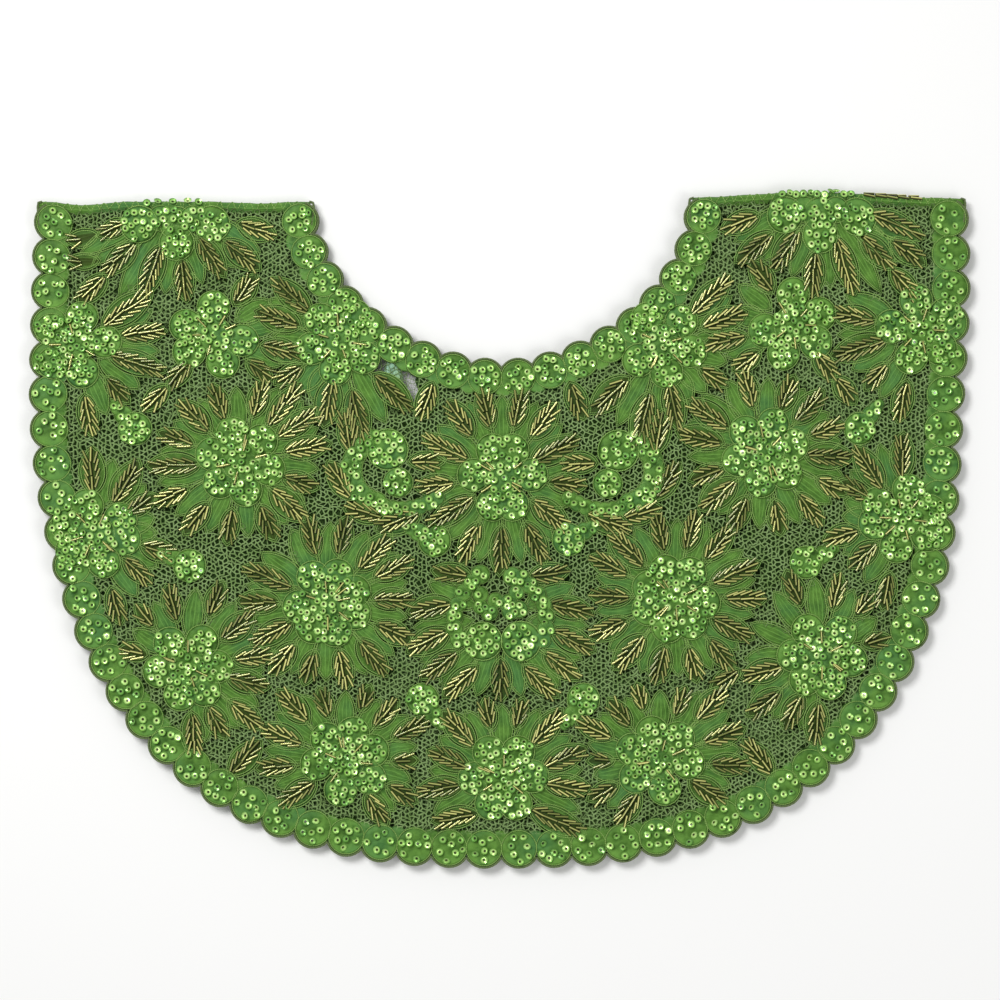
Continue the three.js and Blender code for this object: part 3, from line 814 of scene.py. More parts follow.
def leaves_of(name, back):
    """The leaves of one flower, or those between the flowers, that lie clear of the ones sewn before."""
    if back not in SEWN:
        worn = [(spread(base), spread(tip)) for base, tip in WORN_LEAVES]
        kept, groups = worn[:], {}
        for flower, centre, motif, mirrored in both_halves(FLOWERS):
            groups[flower] = list(flower_leaves(centre, motif, mirrored, back))
        groups["filling"] = list(other_leaves(back))
        for flower, leaves in groups.items():
            clear = [leaf for leaf in leaves if all(gap_between(leaf, other) > LEAF_GAP for other in kept)]
            kept += clear
            groups[flower] = clear
        groups["worn"] = worn
        SEWN[back] = groups
    return SEWN[back][name]


def filler_leaves(back):
    """Plain organza leaves between a flower's beaded ones, as (base, tip, half width).

    A narrow gap takes one, a wide one takes two, and a very narrow or very wide one takes none.
    """
    narrowest, wide, widest, start, edge_gap = 9, 42, 75, 15, 5
    for _, centre, motif, mirrored in both_halves(FLOWERS):
        spokes = sorted((leaf[0] % 360, leaf[2]) for leaf in motif["leaves"])
        for (one, reach_one), (other, reach_other) in zip(spokes, spokes[1:] + spokes[:1]):
            gap = (other - one) % 360
            if not narrowest < gap < widest:
                continue
            reach = (reach_one + reach_other) / 2 - (5 if gap < wide else 9)
            for share in ((0.5,) if gap < wide else (0.33, 0.67)):
                way = turn(one + gap * share, mirrored)
                base, tip = polar(way, start, centre), polar(way, reach, centre)
                if keep_leaf(base, tip, back) and abs(tip.x) < hem_half_width(tip.y, edge_gap):
                    yield base, tip, FILLER_HALF_WIDTH


def flower_leaves(centre, motif, mirrored, back):
    """The beaded leaves round one flower, as (base, tip)."""
    for direction, start, end, *lean in motif["leaves"]:
        lean = lean[0] if lean else 0
        middle = polar(turn(direction, mirrored), (start + end) / 2, centre)
        half = polar(turn(direction + lean, mirrored), (end - start) / 2)
        base, tip = middle - half, middle + half
        if keep_leaf(base, tip, back):
            yield base, tip


def other_leaves(back):
    """The beaded leaves round the curls and those that stand alone, as (base, tip)."""
    for _, centre, _, mirrored in both_halves(CURLS):
        leaves = [[centre + Vector(sided(end, mirrored)) for end in leaf] for leaf in CURL_LEAVES]
        leaves += [[spread(sided(end, mirrored)) for end in leaf] for leaf in LONE_LEAVES]
        for base, tip in leaves:
            if keep_leaf(base, tip, back):
                yield base, tip


def keep_leaf(base, tip, back):
    """Leaves stop at the fold, and at the back layer's notch."""
    if max(base.y, tip.y) > FOLD_Y - LEAF_SHORT:
        return False
    return not (back and any(in_notch(*base.lerp(tip, share), grow=3) for share in (0, 0.5, 1)))


def net_wanted(points, discs, leaves, back):
    """Which points of the net show between the motifs."""
    x, y = points[:, 0], points[:, 1]
    line = np.array([[p.y, p.x] for p in hem_line(NET_HEM_INSET) if p.x <= 0])
    order = np.argsort(line[:, 0])
    width = np.interp(y, line[order, 0], -line[order, 1])
    wanted = (np.abs(x) < width) & (y < FOLD_Y - NET_SHORT) & (y > HEM_BOTTOM + NET_HEM_INSET)
    neck = (np.abs(x) / (NECK_HALF_WIDTH + NET_NECK_OUTSET)) ** NECK_POWER
    neck += (np.clip(FOLD_Y - y, 0, None) / (NECK_DEPTH + NET_NECK_OUTSET)) ** NECK_POWER
    wanted &= neck > 1
    for cx, cy, radius in discs:
        wanted &= (x - cx) ** 2 + (y - cy) ** 2 > radius * radius
    for base, tip in leaves:
        along = tip - base
        length = along.length
        along.normalize()
        u = (x - base.x) * along.x + (y - base.y) * along.y
        v = -(x - base.x) * along.y + (y - base.y) * along.x
        wanted &= ((u - length / 2) / (length / 2 + 0.5)) ** 2 + (v / NET_LEAF_HALF_WIDTH) ** 2 > 1
    if back:
        wanted &= ~((np.abs(x - NOTCH_X) < NOTCH_WIDTH / 2) & (y > NOTCH_LOW_Y))
    return wanted


def build_net(layer, body, back, cell, thread):
    """Needle net: a triangle grid with its corners cut off gives six-sided cells, which are pulled about.

    Over the notch, the front layer's net has finer threads.
    """
    step = cell * math.sqrt(3)
    row = step * math.sqrt(3) / 2
    columns = round(2 * HEM_HALF_WIDTH / step)
    rows = round((FOLD_Y - HEM_BOTTOM) / row)
    work = bmesh.new()
    bmesh.ops.create_grid(work, x_segments=columns, y_segments=rows, size=0.5)
    for vert in work.verts:
        i, j = round((vert.co.x + 0.5) * columns), round((vert.co.y + 0.5) * rows)
        vert.co = ((i - columns / 2 + 0.5 * (j % 2)) * step, HEM_BOTTOM + j * row, 0)
    bmesh.ops.triangulate(work, faces=work.faces, quad_method="SHORT_EDGE")
    discs, leaves = motif_shapes(back)
    drop_faces(work, discs, leaves, back)
    third = 33.333
    bmesh.ops.bevel(work, geom=work.verts[:] + work.edges[:], offset=third, offset_type="PERCENT",
                    segments=1, profile=0.5, affect="VERTICES", material=-1)
    draw = random.Random(11)
    pull = 0.2 * cell
    for vert in work.verts:
        vert.co.x += draw.gauss(0, pull)
        vert.co.y += draw.gauss(0, pull)
    bmesh.ops.delete(work, geom=[face for face in work.faces if len(face.verts) < 6], context="FACES")
    sheer = [face for face in work.faces if not back and in_notch(*face.calc_center_median()[:2], grow=1)]
    sound = [face for face in work.faces if face not in sheer]
    rims = set(bmesh.ops.inset_individual(work, faces=sound, thickness=thread / 2)["faces"])
    if sheer:
        rims |= set(bmesh.ops.inset_individual(work, faces=sheer, thickness=thread / 6)["faces"])
    holes = [face for face in work.faces if face not in rims]
    inner = {vert for face in holes for vert in face.verts}
    bmesh.ops.delete(work, geom=holes, context="FACES_ONLY")
    for vert in work.verts:
        vert.co.z = NET_Z if vert in inner else NET_Z + 0.62 * thread
    for edge in work.edges[:]:
        if not edge.link_faces:
            work.edges.remove(edge)
    under = bmesh.ops.duplicate(work, geom=work.faces[:])["geom"]
    under_faces = [item for item in under if isinstance(item, bmesh.types.BMFace)]
    for vert in {vert for face in under_faces for vert in face.verts}:
        vert.co.z = 2 * NET_Z - vert.co.z
    bmesh.ops.reverse_faces(work, faces=under_faces)
    bmesh.ops.remove_doubles(work, verts=work.verts, dist=0.0005)
    smooth(work)
    return make_piece(f"{layer}_lace_net", work, [finish_of("net")], body, [f"{layer}_net"], back)


def drop_faces(work, discs, leaves, back):
    """Deletes the net where motifs cover it."""
    work.faces.ensure_lookup_table()
    centres = np.array([face.calc_center_median()[:2] for face in work.faces])
    wanted = net_wanted(centres, discs, leaves, back)
    gone = [face for face, keep in zip(work.faces, wanted) if not keep]
    bmesh.ops.delete(work, geom=gone, context="FACES")


def round_template():
    """A plain round of organza of one unit's radius. UV: its own plane."""
    work = bmesh.new()
    bmesh.ops.create_circle(work, cap_ends=True, segments=9, radius=1)
    bmesh.ops.inset_individual(work, faces=work.faces[:], thickness=0.3, depth=0.12)
    write_uv(work, lambda vert: (0.5 + 0.5 * vert.co.x, 0.5 + 0.2 * vert.co.y))
    bmesh.ops.solidify(work, geom=work.faces, thickness=0.15)
    smooth(work)
    return template_from(work, "round")


def pocket_rounds():
    """Rounds of organza that close the net's open pockets in the back layer, as (centre, radius). They are
    near-black: painted shade.
    """
    discs, leaves = motif_shapes(True)
    step, largest, notch_gap = 2.5, 7.2, 5
    across, up = np.arange(-HEM_HALF_WIDTH, HEM_HALF_WIDTH, step), np.arange(HEM_BOTTOM, FOLD_Y, step)
    points = np.array([(x, y) for y in up for x in across])
    chosen = []
    for x, y in points[net_wanted(points, discs, leaves, True)]:
        close = any((x - other.x) ** 2 + (y - other.y) ** 2 < ROUND_GAP ** 2 for other, _ in chosen)
        if not close and not in_notch(x, y, grow=notch_gap):
            chosen.append((Vector((x, y)), min(largest, FOLD_Y - ROUND_SHORT - y)))
    return chosen


def build_pocket_rounds(body):
    """The rounds behind the back layer's net, near-black with painted shade, which make the pockets read
    dark through the front layer.
    """
    template = round_template()
    draw = random.Random(3)
    work = bmesh.new()
    for centre, radius in pocket_rounds():
        place = frame_at(centre, ROUND_Z + draw.uniform(-0.15, 0.15), draw.uniform(0, 360))
        stamp(work, template, place @ sized(radius, radius))
    return make_piece("back_pocket_rounds", work, [finish_of("round_organza")], body, back=True)


# ---- Organza leaves and petals, and their cords ----


def leaf_outline(count=11):
    """The outline of a leaf one unit long and two wide."""
    there = [(i / count, leaf_taper(i / count)) for i in range(count)]
    back_again = [(1 - i / count, -leaf_taper(1 - i / count)) for i in range(count)]
    return there + back_again


def circle_points(count=20):
    return [(math.cos(math.tau * i / count), math.sin(math.tau * i / count)) for i in range(count)]


def organza_leaves(back):
    """Every leaf of organza, as (base, tip, half width, height): fillers under the beaded leaves."""
    for base, tip, half_width in filler_leaves(back):
        yield base, tip, half_width, FILLER_Z
    for base, tip in all_leaves(back):
        yield base, tip, min(6.7, 2.0 + 0.21 * (tip - base).length), LEAF_Z


def lay_leaf(base, tip, half_width, draw, z):
    """A leaf's place, length and half width. A leaf and its cords take the same draws, to lie together."""
    past_base, past_tip = 2.2, 2.0
    along = (tip - base).normalized()
    start, end = base - along * past_base, tip + along * past_tip
    heading = math.degrees(math.atan2(along.y, along.x))
    width = half_width * draw.uniform(0.92, 1.12)
    place = frame_at(start, z + draw.uniform(-0.08, 0.08), heading + draw.uniform(-3, 3),
                     lift=draw.uniform(-0.4, 0.8))
    return place, (end - start).length, width


def place_leaf(work, template, leaf, draw):
    place, length, width = lay_leaf(*leaf[:3], draw, leaf[3])
    stamp(work, template, place @ sized(length, width))


def build_organza(layer, body, back):
    """All the organza of a layer: a leaf under each spray of beads, and a pad for each petal and heart."""
    leaves, pad = {beaded: leaf_template(beaded) for beaded in (True, False)}, pad_template()
    draw = random.Random(5)
    work = bmesh.new()
    for leaf in organza_leaves(back):
        place_leaf(work, leaves[leaf[3] == LEAF_Z], leaf, draw)
    for centre, radius, z in petal_pads(draw):
        stamp(work, pad, frame_at(centre, z, draw.uniform(0, 360)) @ sized(radius, radius))
    names = ("shaded_organza", "shaded_organza") if back else ("organza", "leaf_organza")
    finishes = [finish_of(name) for name in names]
    return make_piece(f"{layer}_organza", work, finishes, body, back=back)


def build_sheer_leaf(body):
    """The leaf over the back layer's notch, painted pale green for the light that comes through the organza:
    painted light.
    """
    work = bmesh.new()
    base, tip = [spread(end) for end in SHEER_LEAF]
    place_leaf(work, leaf_template(False), (base, tip, SHEER_HALF_WIDTH, SHEER_Z), random.Random(2))
    return make_piece("front_sheer_leaf", work, [finish_of("sheer_organza_painted_light")], body)


def petal_pads(draw):
    """The pads under the sequins, as (centre, radius, height)."""
    for _, centre, motif, mirrored in both_halves(FLOWERS):
        for at, radius in flower_pads(centre, motif, mirrored):
            if at.y < FOLD_Y - 2 * PAD_SHORT:
                yield at, min(radius, FOLD_Y - PAD_SHORT - at.y), PAD_Z + draw.uniform(-0.1, 0.15)
        if "pads" not in motif:
            yield centre, HEART_RADIUS, PAD_Z + 0.15
    for _, centre, motif, mirrored in both_halves(DROPS):
        yield centre, DROP_RADIUS, PAD_Z
        for reach, radius in DROP_TAIL_PADS:
            yield polar(turn(motif["tail"], mirrored), reach, centre), radius, PAD_Z - 0.1
    for _, centre, _, mirrored in both_halves(CURLS):
        for x, y, radius in curl_pads():
            yield centre + Vector(sided((x, y), mirrored)), radius, PAD_Z + draw.uniform(-0.1, 0.1)


def curl_pads():
    """A curl's pads, as (x, y, radius) from its centre on the left half: hook, head, knot and tail."""
    for angle in range(112, 262, 12):
        yield (*polar(angle, CURL_RADIUS), 5.4)
    yield 1.5, 10.5, 10.3
    yield 6.8, -6, 7.4
    for x, y in CURL_TAIL:
        yield x, y, 4.2


def build_cords(layer, body, back):
    """Outline cords on leaves and petals."""
    circle = [(PETAL_RADIUS * x, PETAL_RADIUS * y, 0) for x, y in circle_points()]
    round_cord = cord_outline(circle, PETAL_CORD, "round_cord")
    draw = random.Random(5)
    work = bmesh.new()
    for base, tip, half_width, z in organza_leaves(back):
        leaf_rim(work, *lay_leaf(base, tip, half_width, draw, z))
    for centre, radius, z in petal_pads(draw):
        size = radius / PETAL_RADIUS
        stamp(work, round_cord, frame_at(centre, z + 0.3) @ sized(size, size))
    return make_piece(f"{layer}_outline_cords", work, [finish_of("cord")], body, back=back)


def leaf_rim(work, place, length, width):
    """Two cords round one leaf, one along its edge and one inside it."""
    for grow, rise in ((0.0, 0.42), (-1.15, 0.5)):
        outline = [(length * x - grow * (1 - 2 * x), (width + grow) * y, rise) for x, y in leaf_outline()]
        mesh = cord_outline(outline, LEAF_CORD, "leaf_rim")
        stamp(work, mesh, place)
        bpy.data.meshes.remove(mesh)


# ---- Scalloped edges ----


def edge_scallops(kind, back):
    """The scallops of an edge, as (centre, outward direction, radius, reach across the fold's line)."""
    for centre, out, radius in scallops(kind):
        if not (back and in_notch(*centre, grow=2)):
            yield centre, out, radius, min(radius, FOLD_Y + 1.5 - centre.y)


def edge_corners(kind):
    """Where an edge meets the two folds, as (centre, the side it faces)."""
    below_fold, in_from_edge = 5, 3.6
    for side in (-1, 1):
        if kind == "hem":
            yield Vector((side * (hem_half_width(FOLD_Y) - in_from_edge), FOLD_Y - below_fold)), side
        else:
            yield Vector((side * (NECK_HALF_WIDTH + in_from_edge), FOLD_Y - below_fold)), -side


def build_edge_pads(layer, kind, body, back):
    """The pads of a scalloped edge, smaller ones between them, and one at each corner."""
    pad = pad_template()
    work = bmesh.new()
    draw = random.Random(EDGES[kind]["seed"])
    for centre, out, radius, reach in edge_scallops(kind, back):
        stamp(work, pad, frame_at(centre, PAD_Z - 0.4 + draw.uniform(-0.08, 0.08)) @ sized(radius, reach))
        between = centre + Vector((-out.y, out.x)) * (radius * 0.83) - out * 3.0
        if between.y < FOLD_Y - 6:
            stamp(work, pad, frame_at(between, PAD_Z - 0.75) @ sized(6.0, 6.0))
    for corner, _ in edge_corners(kind):
        stamp(work, pad, frame_at(corner, PAD_Z - 0.5) @ sized(6.2, 5.4))
    nodes = [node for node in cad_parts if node.startswith(f"{layer}_{kind}_scallops")]
    finish = finish_of("shaded_organza" if back else "organza")
    return make_piece(f"{layer}_{kind}_pads", work, [finish], body, nodes, back)


# The satin cord's way round a hem's corner, as (outward, up) in mm from the corner's pad.
CORNER_BEND = ((5.6, -6), (6.0, -3), (6.3, 0), (6.5, 3.4), (6.2, 5.6), (4.4, 6.1))


def build_edge_cords(layer, kind, body, back):
    """A light cord round each pad of an edge, and a thick satin cord along the outside."""
    cords, rims = bmesh.new(), bmesh.new()
    inside, ring_z, rim_z = 0.93, PAD_Z + 0.15, PAD_Z - 0.35
    for centre, out, radius, reach in edge_scallops(kind, back):
        ring = [(centre.x + inside * radius * x, centre.y + inside * reach * y, ring_z)
                for x, y in circle_points(22)]
        tube(cords, ring, LEAF_CORD, sides=4, closed=True)
        facing = math.degrees(math.atan2(out.y, out.x))
        arc = [polar(facing + angle, radius + 0.35, centre) for angle in np.linspace(-62, 62, 11)]
        arc = [(p.x, min(p.y, FOLD_Y + 1.4), rim_z) for p in arc]
        tube(rims, arc, SATIN_CORD, sides=7, flat=0.85)
    for corner, side in edge_corners(kind):
        bend = [corner + Vector((side * x, y)) for x, y in CORNER_BEND]
        tube(rims, [(p.x, p.y, rim_z) for p in bend], SATIN_CORD, sides=7, flat=0.85)
    for work in (cords, rims):
        bmesh.ops.recalc_face_normals(work, faces=work.faces)
    name = f"{layer}_{kind}"
    light = make_piece(f"{name}_outline_cords", cords, [finish_of("cord")], body, back=back)
    thick = make_piece(f"{name}_satin_rim", rims, [finish_of("edge")], body, back=back)
    return [light, thick]


# ---- Sequins ----


def scatter(discs, gap, draw, tries=900, most=None):
    """Seeded places inside the discs, none closer than the gap, up to the most if it is given."""
    places = []
    areas = [radius * radius for _, _, radius in discs]
    for _ in range(tries):
        x, y, radius = draw.choices(discs, areas)[0]
        at = polar(draw.uniform(0, 360), radius * math.sqrt(draw.random()), (x, y))
        if all((at - other).length > gap for other in places):
            places.append(at)
            if len(places) == most:
                break
    return places


def sew_sequins(work, templates, places, draw, z=SEQUIN_Z, tilt=38):
    """Sews a sequin at each place, tilted by up to so many degrees."""
    for at in places:
        template = draw.choice(templates)
        lean = tilt * math.sqrt(draw.random())
        height = z + 0.5 * draw.random()
        stamp(work, template, frame_at(at, height, draw.uniform(0, 360), lift=lean))


def sequin_templates(sizes, tones):
    return [sequin_template(tone, sizes.sequin_diameter / MM) for tone in tones]


def sequin_piece(name, work, body, back, node=None):
    nodes = [node] if node else []
    return make_piece(f"{name}_sequins", work, [finish_of("sequin")], body, nodes, back)


def build_flower_sequins(layer, body, back, sizes, templates):
    """The sequins on each flower's petals and heart, and the few bugles that stand in the heart."""
    bugles = bugle_templates(sizes, (0.6, 1.0), share=0.8)
    bead = finish_of("bugle")
    for name, centre, motif, mirrored in both_halves(FLOWERS):
        draw = random.Random(f"sequins {name}")
        work = bmesh.new()
        discs = [(*at, radius - 1.7) for at, radius in flower_pads(centre, motif, mirrored)]
        if "pads" not in motif:
            discs.append((*centre, HEART_RADIUS - 0.5))
        places = scatter(discs, SEQUIN_GAP, draw, tries=1800)
        sew_sequins(work, templates, [p for p in places if p.y < FOLD_Y - SEQUIN_SHORT], draw)
        sequin_piece(f"{layer}_{name}", work, body, back, f"{layer}_flower_{name}")
        beads = bmesh.new()
        for petal in motif["petals"]:
            between = turn(petal, mirrored) + draw.choice((-30, 30)) + draw.uniform(-6, 6)
            start = polar(between, draw.uniform(4.5, 8), centre)
            if start.y > FOLD_Y - BUGLE_SHORT:
                continue
            length = draw.uniform(4.5, 6.5)
            place = frame_at(start, SEQUIN_Z + 0.9, between, lift=4)
            stamp(beads, draw.choice(bugles), place @ sized(length, 1.0))
        if beads.verts:
            make_piece(f"{layer}_{name}_heart_bugles", beads, [bead], body, back=back)


def build_drop_sequins(layer, body, back, templates):
    """The sequins on each teardrop's head, and the three along its tail."""
    for name, centre, motif, mirrored in both_halves(DROPS):
        draw = random.Random(f"drop {name}")
        work = bmesh.new()
        places = scatter([(*centre, DROP_SEQUIN_RADIUS)], SEQUIN_GAP, draw, most=DROP_MOST)
        tail = turn(motif["tail"], mirrored)
        places += [polar(tail + aside, reach, centre) for reach, aside in DROP_TAIL_SEQUINS]
        sew_sequins(work, templates, places, draw)
        sequin_piece(f"{layer}_{name}_drop", work, body, back, f"{layer}_drop_{name}")


def build_curl_sequins(layer, body, back, templates):
    """The sequins on each curl."""
    for name, centre, _, mirrored in both_halves(CURLS):
        draw = random.Random(f"curl {name}")
        work = bmesh.new()
        places = []
        for x, y, radius in curl_pads():
            at = centre + Vector(sided((x, y), mirrored))
            spots = scatter([(*at, radius - 1.6)], SEQUIN_GAP, draw, tries=160)
            places += [p for p in spots if all((p - q).length > SEQUIN_GAP for q in places)]
        sew_sequins(work, templates, places, draw)
        sequin_piece(f"{layer}_{name}", work, body, back, f"{layer}_curl_inner_{name.split('_')[1]}")


def build_edge_sequins(layer, body, back, templates):
    """The sparser, duller sequins on the scallops of both edges."""
    for kind, edge in EDGES.items():
        draw = random.Random(f"edge {kind}")
        work = bmesh.new()
        for centre, _, radius, _ in edge_scallops(kind, back):
            places = scatter([(*centre, radius - 2.6)], edge["gap"], draw, tries=120, most=edge["most"])
            places = [p for p in places if p.y < FOLD_Y]
            sew_sequins(work, templates[:-1], places, draw, z=SEQUIN_Z - 0.3)
        sequin_piece(f"{layer}_{kind}", work, body, back)


# ---- Bugle beads ----


def herringbone(base, tip, draw):
    """The beads of one leaf, as (start, heading, length): side rows that open to the tip, and a midrib."""
    along = (tip - base).normalized()
    across = Vector((-along.y, along.x))
    length = (tip - base).length
    heading = math.degrees(math.atan2(along.y, along.x))
    for side in (1, -1):
        reach = 0.6 if side > 0 else 2.2
        while reach < length - 3.6:
            size = min(draw.uniform(5.2, 6.8), length - reach + 1.0)
            share = reach / length
            splay = side * (25 - 9 * share + draw.uniform(-4, 4))
            offset = 1.05 + 0.75 * math.sin(math.pi * min(1, 1.2 * share))
            yield base + along * reach + across * side * offset, heading + splay, size
            reach += draw.uniform(3.3, 4.3)
    reach = draw.uniform(0, 2)
    while reach < length - 3:
        size = min(draw.uniform(5.6, 7.4), length - reach + 1.6)
        yield base + along * reach + across * draw.uniform(-0.35, 0.35), heading + draw.uniform(-6, 6), size
        reach += size * draw.uniform(0.95, 1.1)


def bugle_templates(sizes, tones, share=1.0):
    return [bugle_template(tone, sizes.bugle_diameter / MM * share) for tone in tones]


def sew_bugles(work, templates, leaves, draw):
    """Sews the beads of the leaves. The painted highlight along the beads' tops is stronger on one leaf than
    the next, and on one bead than another.
    """
    for base, tip in leaves:
        painted_leaf_highlight = draw.random()
        for start, heading, size in herringbone(base, tip, draw):
            # The bead's tone sets how strong its painted highlight is.
            tone = 0.6 * draw.random() ** 1.3 + 0.5 * painted_leaf_highlight ** 1.4
            pick = templates[min(len(templates) - 1, int(len(templates) * tone))]
            place = frame_at(start, BEAD_Z + draw.uniform(-0.1, 0.25), heading, lift=draw.uniform(-2, 2.5))
            stamp(work, pick, place @ sized(size, 1.0))


def build_bugles(layer, body, back, sizes):
    """The beads on the leaves round each flower, and on those between the flowers."""
    templates = bugle_templates(sizes, (0.0, 0.25, 0.5, 0.75, 1.0))
    material = finish_of("bugle")
    for name, *_ in both_halves(FLOWERS):
        work = bmesh.new()
        sew_bugles(work, templates, leaves_of(name, back), random.Random(f"bugles {name}"))
        nodes = [f"front_spray_{name}"] if layer == "front" else []
        if layer == "back" and name == "lower_centre":
            nodes = ["back_beadwork"]
        make_piece(f"{layer}_{name}_bugles", work, [material], body, nodes, back)
    work = bmesh.new()
    draw = random.Random("bugles between")
    sew_bugles(work, templates, leaves_of("filling", back), draw)
    sew_bugles(work, templates, [(base.lerp(tip, 0.5), tip) for base, tip in leaves_of("worn", back)], draw)
    make_piece(f"{layer}_filling_bugles", work, [material], body, back=back)


# ---- The shoulder folds ----


def fold_name(side):
    return "shoulder_fold_left" if side < 0 else "shoulder_fold_right"


def fold_stretch(side):
    """Where the cloth rolls over one shoulder, from neck to hem, as its lowest and highest x."""
    return sorted((side * (NECK_HALF_WIDTH - 1.2), side * (hem_half_width(FOLD_Y) + 2.2)))


def roll_over(work):
    """Rolls a flat strip over the fold: y runs from 0 at the back layer to the roll's arc at the front."""
    for vert in work.verts:
        along, height = vert.co.y, vert.co.z
        beyond = max(0.0, -along, along - ROLL_ARC)
        angle = min(max(along / ROLL_ARC, 0.0), 1.0) * math.pi
        radius = ROLL_RADIUS + height - 0.35 * beyond
        vert.co.y = ROLL_Y + radius * math.sin(angle) - beyond
        vert.co.z = -radius * math.cos(angle)


def on_roll(x, share, height):
    """A place on the fold's roll, a share of the way round from the back layer to the front one."""
    radius, angle = ROLL_RADIUS + height, math.pi * share
    place = Matrix.Translation((x, ROLL_Y + radius * math.sin(angle), -radius * math.cos(angle)))
    return place @ Matrix.Rotation(math.pi * (1 + share), 4, "X")


def finish_fold(name, work, material):
    """A piece on the roll stands on no body; its place is baked into its mesh."""
    obj = make_piece(name, work, [material], None)
    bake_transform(obj)


def build_fold(side):
    """The cloth that rolls over one shoulder, between the two layers, with a flap under each."""
    low, high = fold_stretch(side)
    work = bmesh.new()
    bmesh.ops.create_grid(work, x_segments=84, y_segments=14, size=0.5)
    layer = work.loops.layers.uv.verify()
    places = {}
    for vert in work.verts:
        u, v = vert.co.x + 0.5, vert.co.y + 0.5
        places[vert] = (u * 14, v)
        ripple = 0.1 * math.sin(u * 43) + 0.07 * math.sin(u * 97 + 2)
        vert.co = (low + (high - low) * u, (ROLL_ARC + 2 * FLAP) * v - FLAP, ripple)
    for face in work.faces:
        face.smooth = True
        for loop in face.loops:
            loop[layer].uv = places[loop.vert]
    roll_over(work)
    bmesh.ops.recalc_face_normals(work, faces=work.faces)
    point_faces(work, "y")
    bmesh.ops.solidify(work, geom=work.faces, thickness=0.25)
    # The roll wears the back layer's darker organza: painted shade for its shadowed top.
    finish_fold(fold_name(side), work, finish_of("shaded_organza"))


def build_fold_cords(side):
    """The lace's threads that cross the fold: a slanted trellis, as two sets of cords."""
    low, high = fold_stretch(side)
    draw = random.Random(21)
    work = bmesh.new()
    x = low + 3
    while x < high - 3:
        for lean in (draw.uniform(3, 6), draw.uniform(-6, -3)):
            path = [(x + lean * (t - 0.5) + 0.25 * math.sin(9 * t + x), (ROLL_ARC + 3) * t - 1.5, 0.1)
                    for t in np.linspace(0, 1, 9)]
            tube(work, path, FOLD_CORD, sides=4)
        x += draw.uniform(3, 6.5)
    bmesh.ops.recalc_face_normals(work, faces=work.faces)
    roll_over(work)
    finish_fold(f"{fold_name(side)}_cords", work, finish_of("cord"))


def build_fold_sequins(side, sizes):
    """The fold flower's sequins that sit on the roll: close on the right shoulder, sparse on the left.

    Gives back its draws, which the bugles beside them go on with.
    """
    middle = spread(FLOWERS["fold"]["at" if side < 0 else "right"]).x
    draw = random.Random("fold left" if side < 0 else "fold right")
    templates = sequin_templates(sizes, (0.15, 0.45, 0.8))
    reach, sparse = (15, 1.8) if side < 0 else (19, 1)
    work = bmesh.new()
    x = middle - reach
    while x < middle + reach:
        place = on_roll(x, draw.uniform(0.62, 0.95), 0.3 + 0.3 * draw.random())
        template = draw.choice(templates)
        stamp(work, template, place @ frame_at((0, 0), 0, draw.uniform(0, 360), lift=20 * draw.random()))
        x += draw.uniform(2.6, 4.2) * sparse
    finish_fold(f"{fold_name(side)}_sequins", work, finish_of("sequin"))
    return draw


def build_fold_bugles(side, sizes, draw):
    """The bugle beads of the leaf beside the fold flower, in two rows on the roll."""
    start = spread(FLOWERS["fold"]["right"]).x + 22
    bugles = bugle_templates(sizes, (0.25, 0.5, 1.0))
    work = bmesh.new()
    for row, heading in ((0.66, 8), (0.8, -8)):
        x = start
        while x < start + 24:
            place = on_roll(x, row + draw.uniform(-0.03, 0.03), 0.5)
            bugle = draw.choice(bugles)
            turned = frame_at((0, 0), 0, heading + draw.uniform(-5, 5))
            stamp(work, bugle, place @ turned @ sized(draw.uniform(4.6, 5.6), 1.0))
            x += draw.uniform(5.2, 6.4)
    finish_fold(f"{fold_name(side)}_bugles", work, finish_of("bugle"))


# ---- Operators ----


class SkirtSettings(bpy.types.PropertyGroup):
    """Sizes that a user would change."""

    sequin_diameter: bpy.props.FloatProperty(
        name="Sequin diameter", description="Across a cup sequin", default=4.05 * MM, unit="LENGTH",
        precision=5)
    bugle_diameter: bpy.props.FloatProperty(
        name="Bugle diameter", description="Across a bugle bead", default=1.35 * MM, unit="LENGTH",
        precision=5)
    net_cell: bpy.props.FloatProperty(
        name="Net cell", description="Across one cell of the net, more or less", default=2.35 * MM,
        unit="LENGTH", precision=5)
    net_thread: bpy.props.FloatProperty(
        name="Net thread", description="Width of the net's thread", default=0.92 * MM, unit="LENGTH",
        precision=5)
    floor_colour: bpy.props.FloatVectorProperty(
        name="Floor colour", description="The pale floor", default=(0.9, 0.9, 0.89), subtype="COLOR")
    light_power: bpy.props.FloatProperty(
        name="Light power", description="The soft main light", default=19.0, unit="POWER")


def settings():
    return bpy.context.scene.tree_skirt


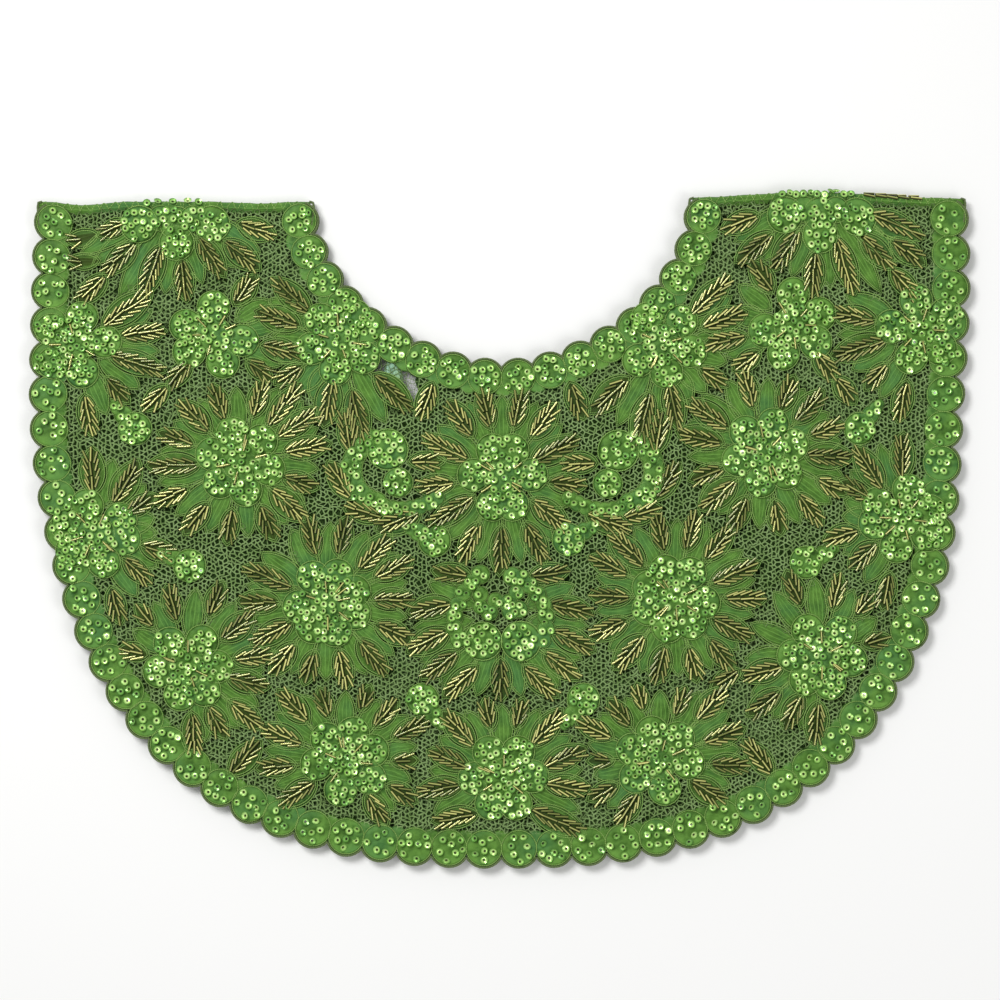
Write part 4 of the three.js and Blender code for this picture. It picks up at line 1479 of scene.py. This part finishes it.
class SKIRT_OT_stage(bpy.types.Operator):
    """Floor, camera and studio light"""

    bl_idname = "skirt.stage"
    bl_label = "Stage"

    def execute(self, context):
        scene = context.scene
        work = bmesh.new()
        bmesh.ops.create_grid(work, x_segments=1, y_segments=1, size=3.0)
        bmesh.ops.translate(work, verts=work.verts, vec=(0, 0, FLOOR_Z * MM))
        mesh = template_from(work, "floor")
        floor = bpy.data.objects.new("floor", mesh)
        scene.collection.objects.link(floor)
        r = Recipe("pale_floor")
        r.shader.inputs["Base Color"].default_value = (*settings().floor_colour, 1)
        r.set(Roughness=0.9)
        mesh.materials.append(r.material)

        camera = bpy.data.objects.new("camera", bpy.data.cameras.new("camera"))
        camera.data.lens = 100
        camera.location = (-0.00075, 0.01575, 1.397)
        scene.collection.objects.link(camera)
        scene.camera = camera

        world = bpy.data.worlds.new("studio")
        world.use_nodes = True
        world.node_tree.nodes["Background"].inputs[0].default_value = (1, 1, 1, 1)
        world.node_tree.nodes["Background"].inputs[1].default_value = 0.4
        scene.world = world
        lamps = (("key", (-0.6, 0.65, 1.4), 0.6, 1.0), ("fill", (0.9, -0.5, 1.2), 0.8, 0.3))
        for name, place, size, power in lamps:
            light = bpy.data.lights.new(name, "AREA")
            light.energy = settings().light_power * power
            light.size = size
            lamp = bpy.data.objects.new(name, light)
            lamp.location = place
            lamp.rotation_euler = (-Vector(place)).to_track_quat("-Z", "Y").to_euler()
            scene.collection.objects.link(lamp)
        scene.view_settings.view_transform = "Standard"
        return {"FINISHED"}


class SKIRT_OT_net(bpy.types.Operator):
    """The needle net of both layers"""

    bl_idname = "skirt.net"
    bl_label = "Net"

    def execute(self, context):
        for layer, body, back in LAYERS:
            build_net(layer, body, back, settings().net_cell / MM, settings().net_thread / MM)
        return {"FINISHED"}


class SKIRT_OT_organza(bpy.types.Operator):
    """Organza leaves and petals with their cords, and the scalloped edges"""

    bl_idname = "skirt.organza"
    bl_label = "Organza"

    def execute(self, context):
        for layer, body, back in LAYERS:
            cloth = build_organza(layer, body, back)
            trim = [build_cords(layer, body, back)]
            for kind in EDGES:
                trim.append(build_edge_pads(layer, kind, body, back))
                trim += build_edge_cords(layer, kind, body, back)
            trim.append(bpy.data.objects[f"{layer}_lace_net"])
            trim.append(build_pocket_rounds(body) if back else build_sheer_leaf(body))
        return {"FINISHED"}


class SKIRT_OT_folds(bpy.types.Operator):
    """The cloth, cords and beads that roll over the two shoulders"""

    bl_idname = "skirt.folds"
    bl_label = "Shoulder folds"

    def execute(self, context):
        for side in (-1, 1):
            build_fold(side)
            build_fold_cords(side)
            draw = build_fold_sequins(side, settings())
            if side > 0:
                build_fold_bugles(side, settings(), draw)
        return {"FINISHED"}


class SKIRT_OT_bugles(bpy.types.Operator):
    """The bugle beads on every leaf"""

    bl_idname = "skirt.bugles"
    bl_label = "Bugle beads"

    def execute(self, context):
        for layer, body, back in LAYERS:
            build_bugles(layer, body, back, settings())
        return {"FINISHED"}


class SKIRT_OT_sequins(bpy.types.Operator):
    """The cup sequins of flowers, teardrops, curls and edges"""

    bl_idname = "skirt.sequins"
    bl_label = "Sequins"

    def execute(self, context):
        for layer, body, back in LAYERS:
            templates = sequin_templates(settings(), (0.0, 0.15, 0.3, 0.45, 0.6, 0.8, 1.0))
            build_flower_sequins(layer, body, back, settings(), templates)
            build_drop_sequins(layer, body, back, templates)
            build_curl_sequins(layer, body, back, templates)
            build_edge_sequins(layer, body, back, templates)
        return {"FINISHED"}


OPERATORS = (
    SKIRT_OT_stage, SKIRT_OT_net, SKIRT_OT_organza, SKIRT_OT_folds, SKIRT_OT_bugles, SKIRT_OT_sequins,
)


class SKIRT_PT_panel(bpy.types.Panel):
    bl_label = "Tree Skirt"
    bl_idname = "SKIRT_PT_panel"
    bl_space_type = "VIEW_3D"
    bl_region_type = "UI"
    bl_category = "Tree Skirt"

    def draw(self, context):
        for name in SkirtSettings.__annotations__:
            self.layout.prop(context.scene.tree_skirt, name)
        for operator in OPERATORS:
            self.layout.operator(operator.bl_idname)


CLASSES = (SkirtSettings, *OPERATORS, SKIRT_PT_panel)


def register():
    for cls in CLASSES:
        bpy.utils.register_class(cls)
    bpy.types.Scene.tree_skirt = bpy.props.PointerProperty(type=SkirtSettings)


def unregister():
    del bpy.types.Scene.tree_skirt
    for cls in reversed(CLASSES):
        bpy.utils.unregister_class(cls)


def main():
    register()
    bpy.ops.skirt.stage()
    bpy.ops.skirt.net()
    bpy.ops.skirt.organza()
    bpy.ops.skirt.folds()
    bpy.ops.skirt.bugles()
    bpy.ops.skirt.sequins()


if __name__ == "__main__":
    main()
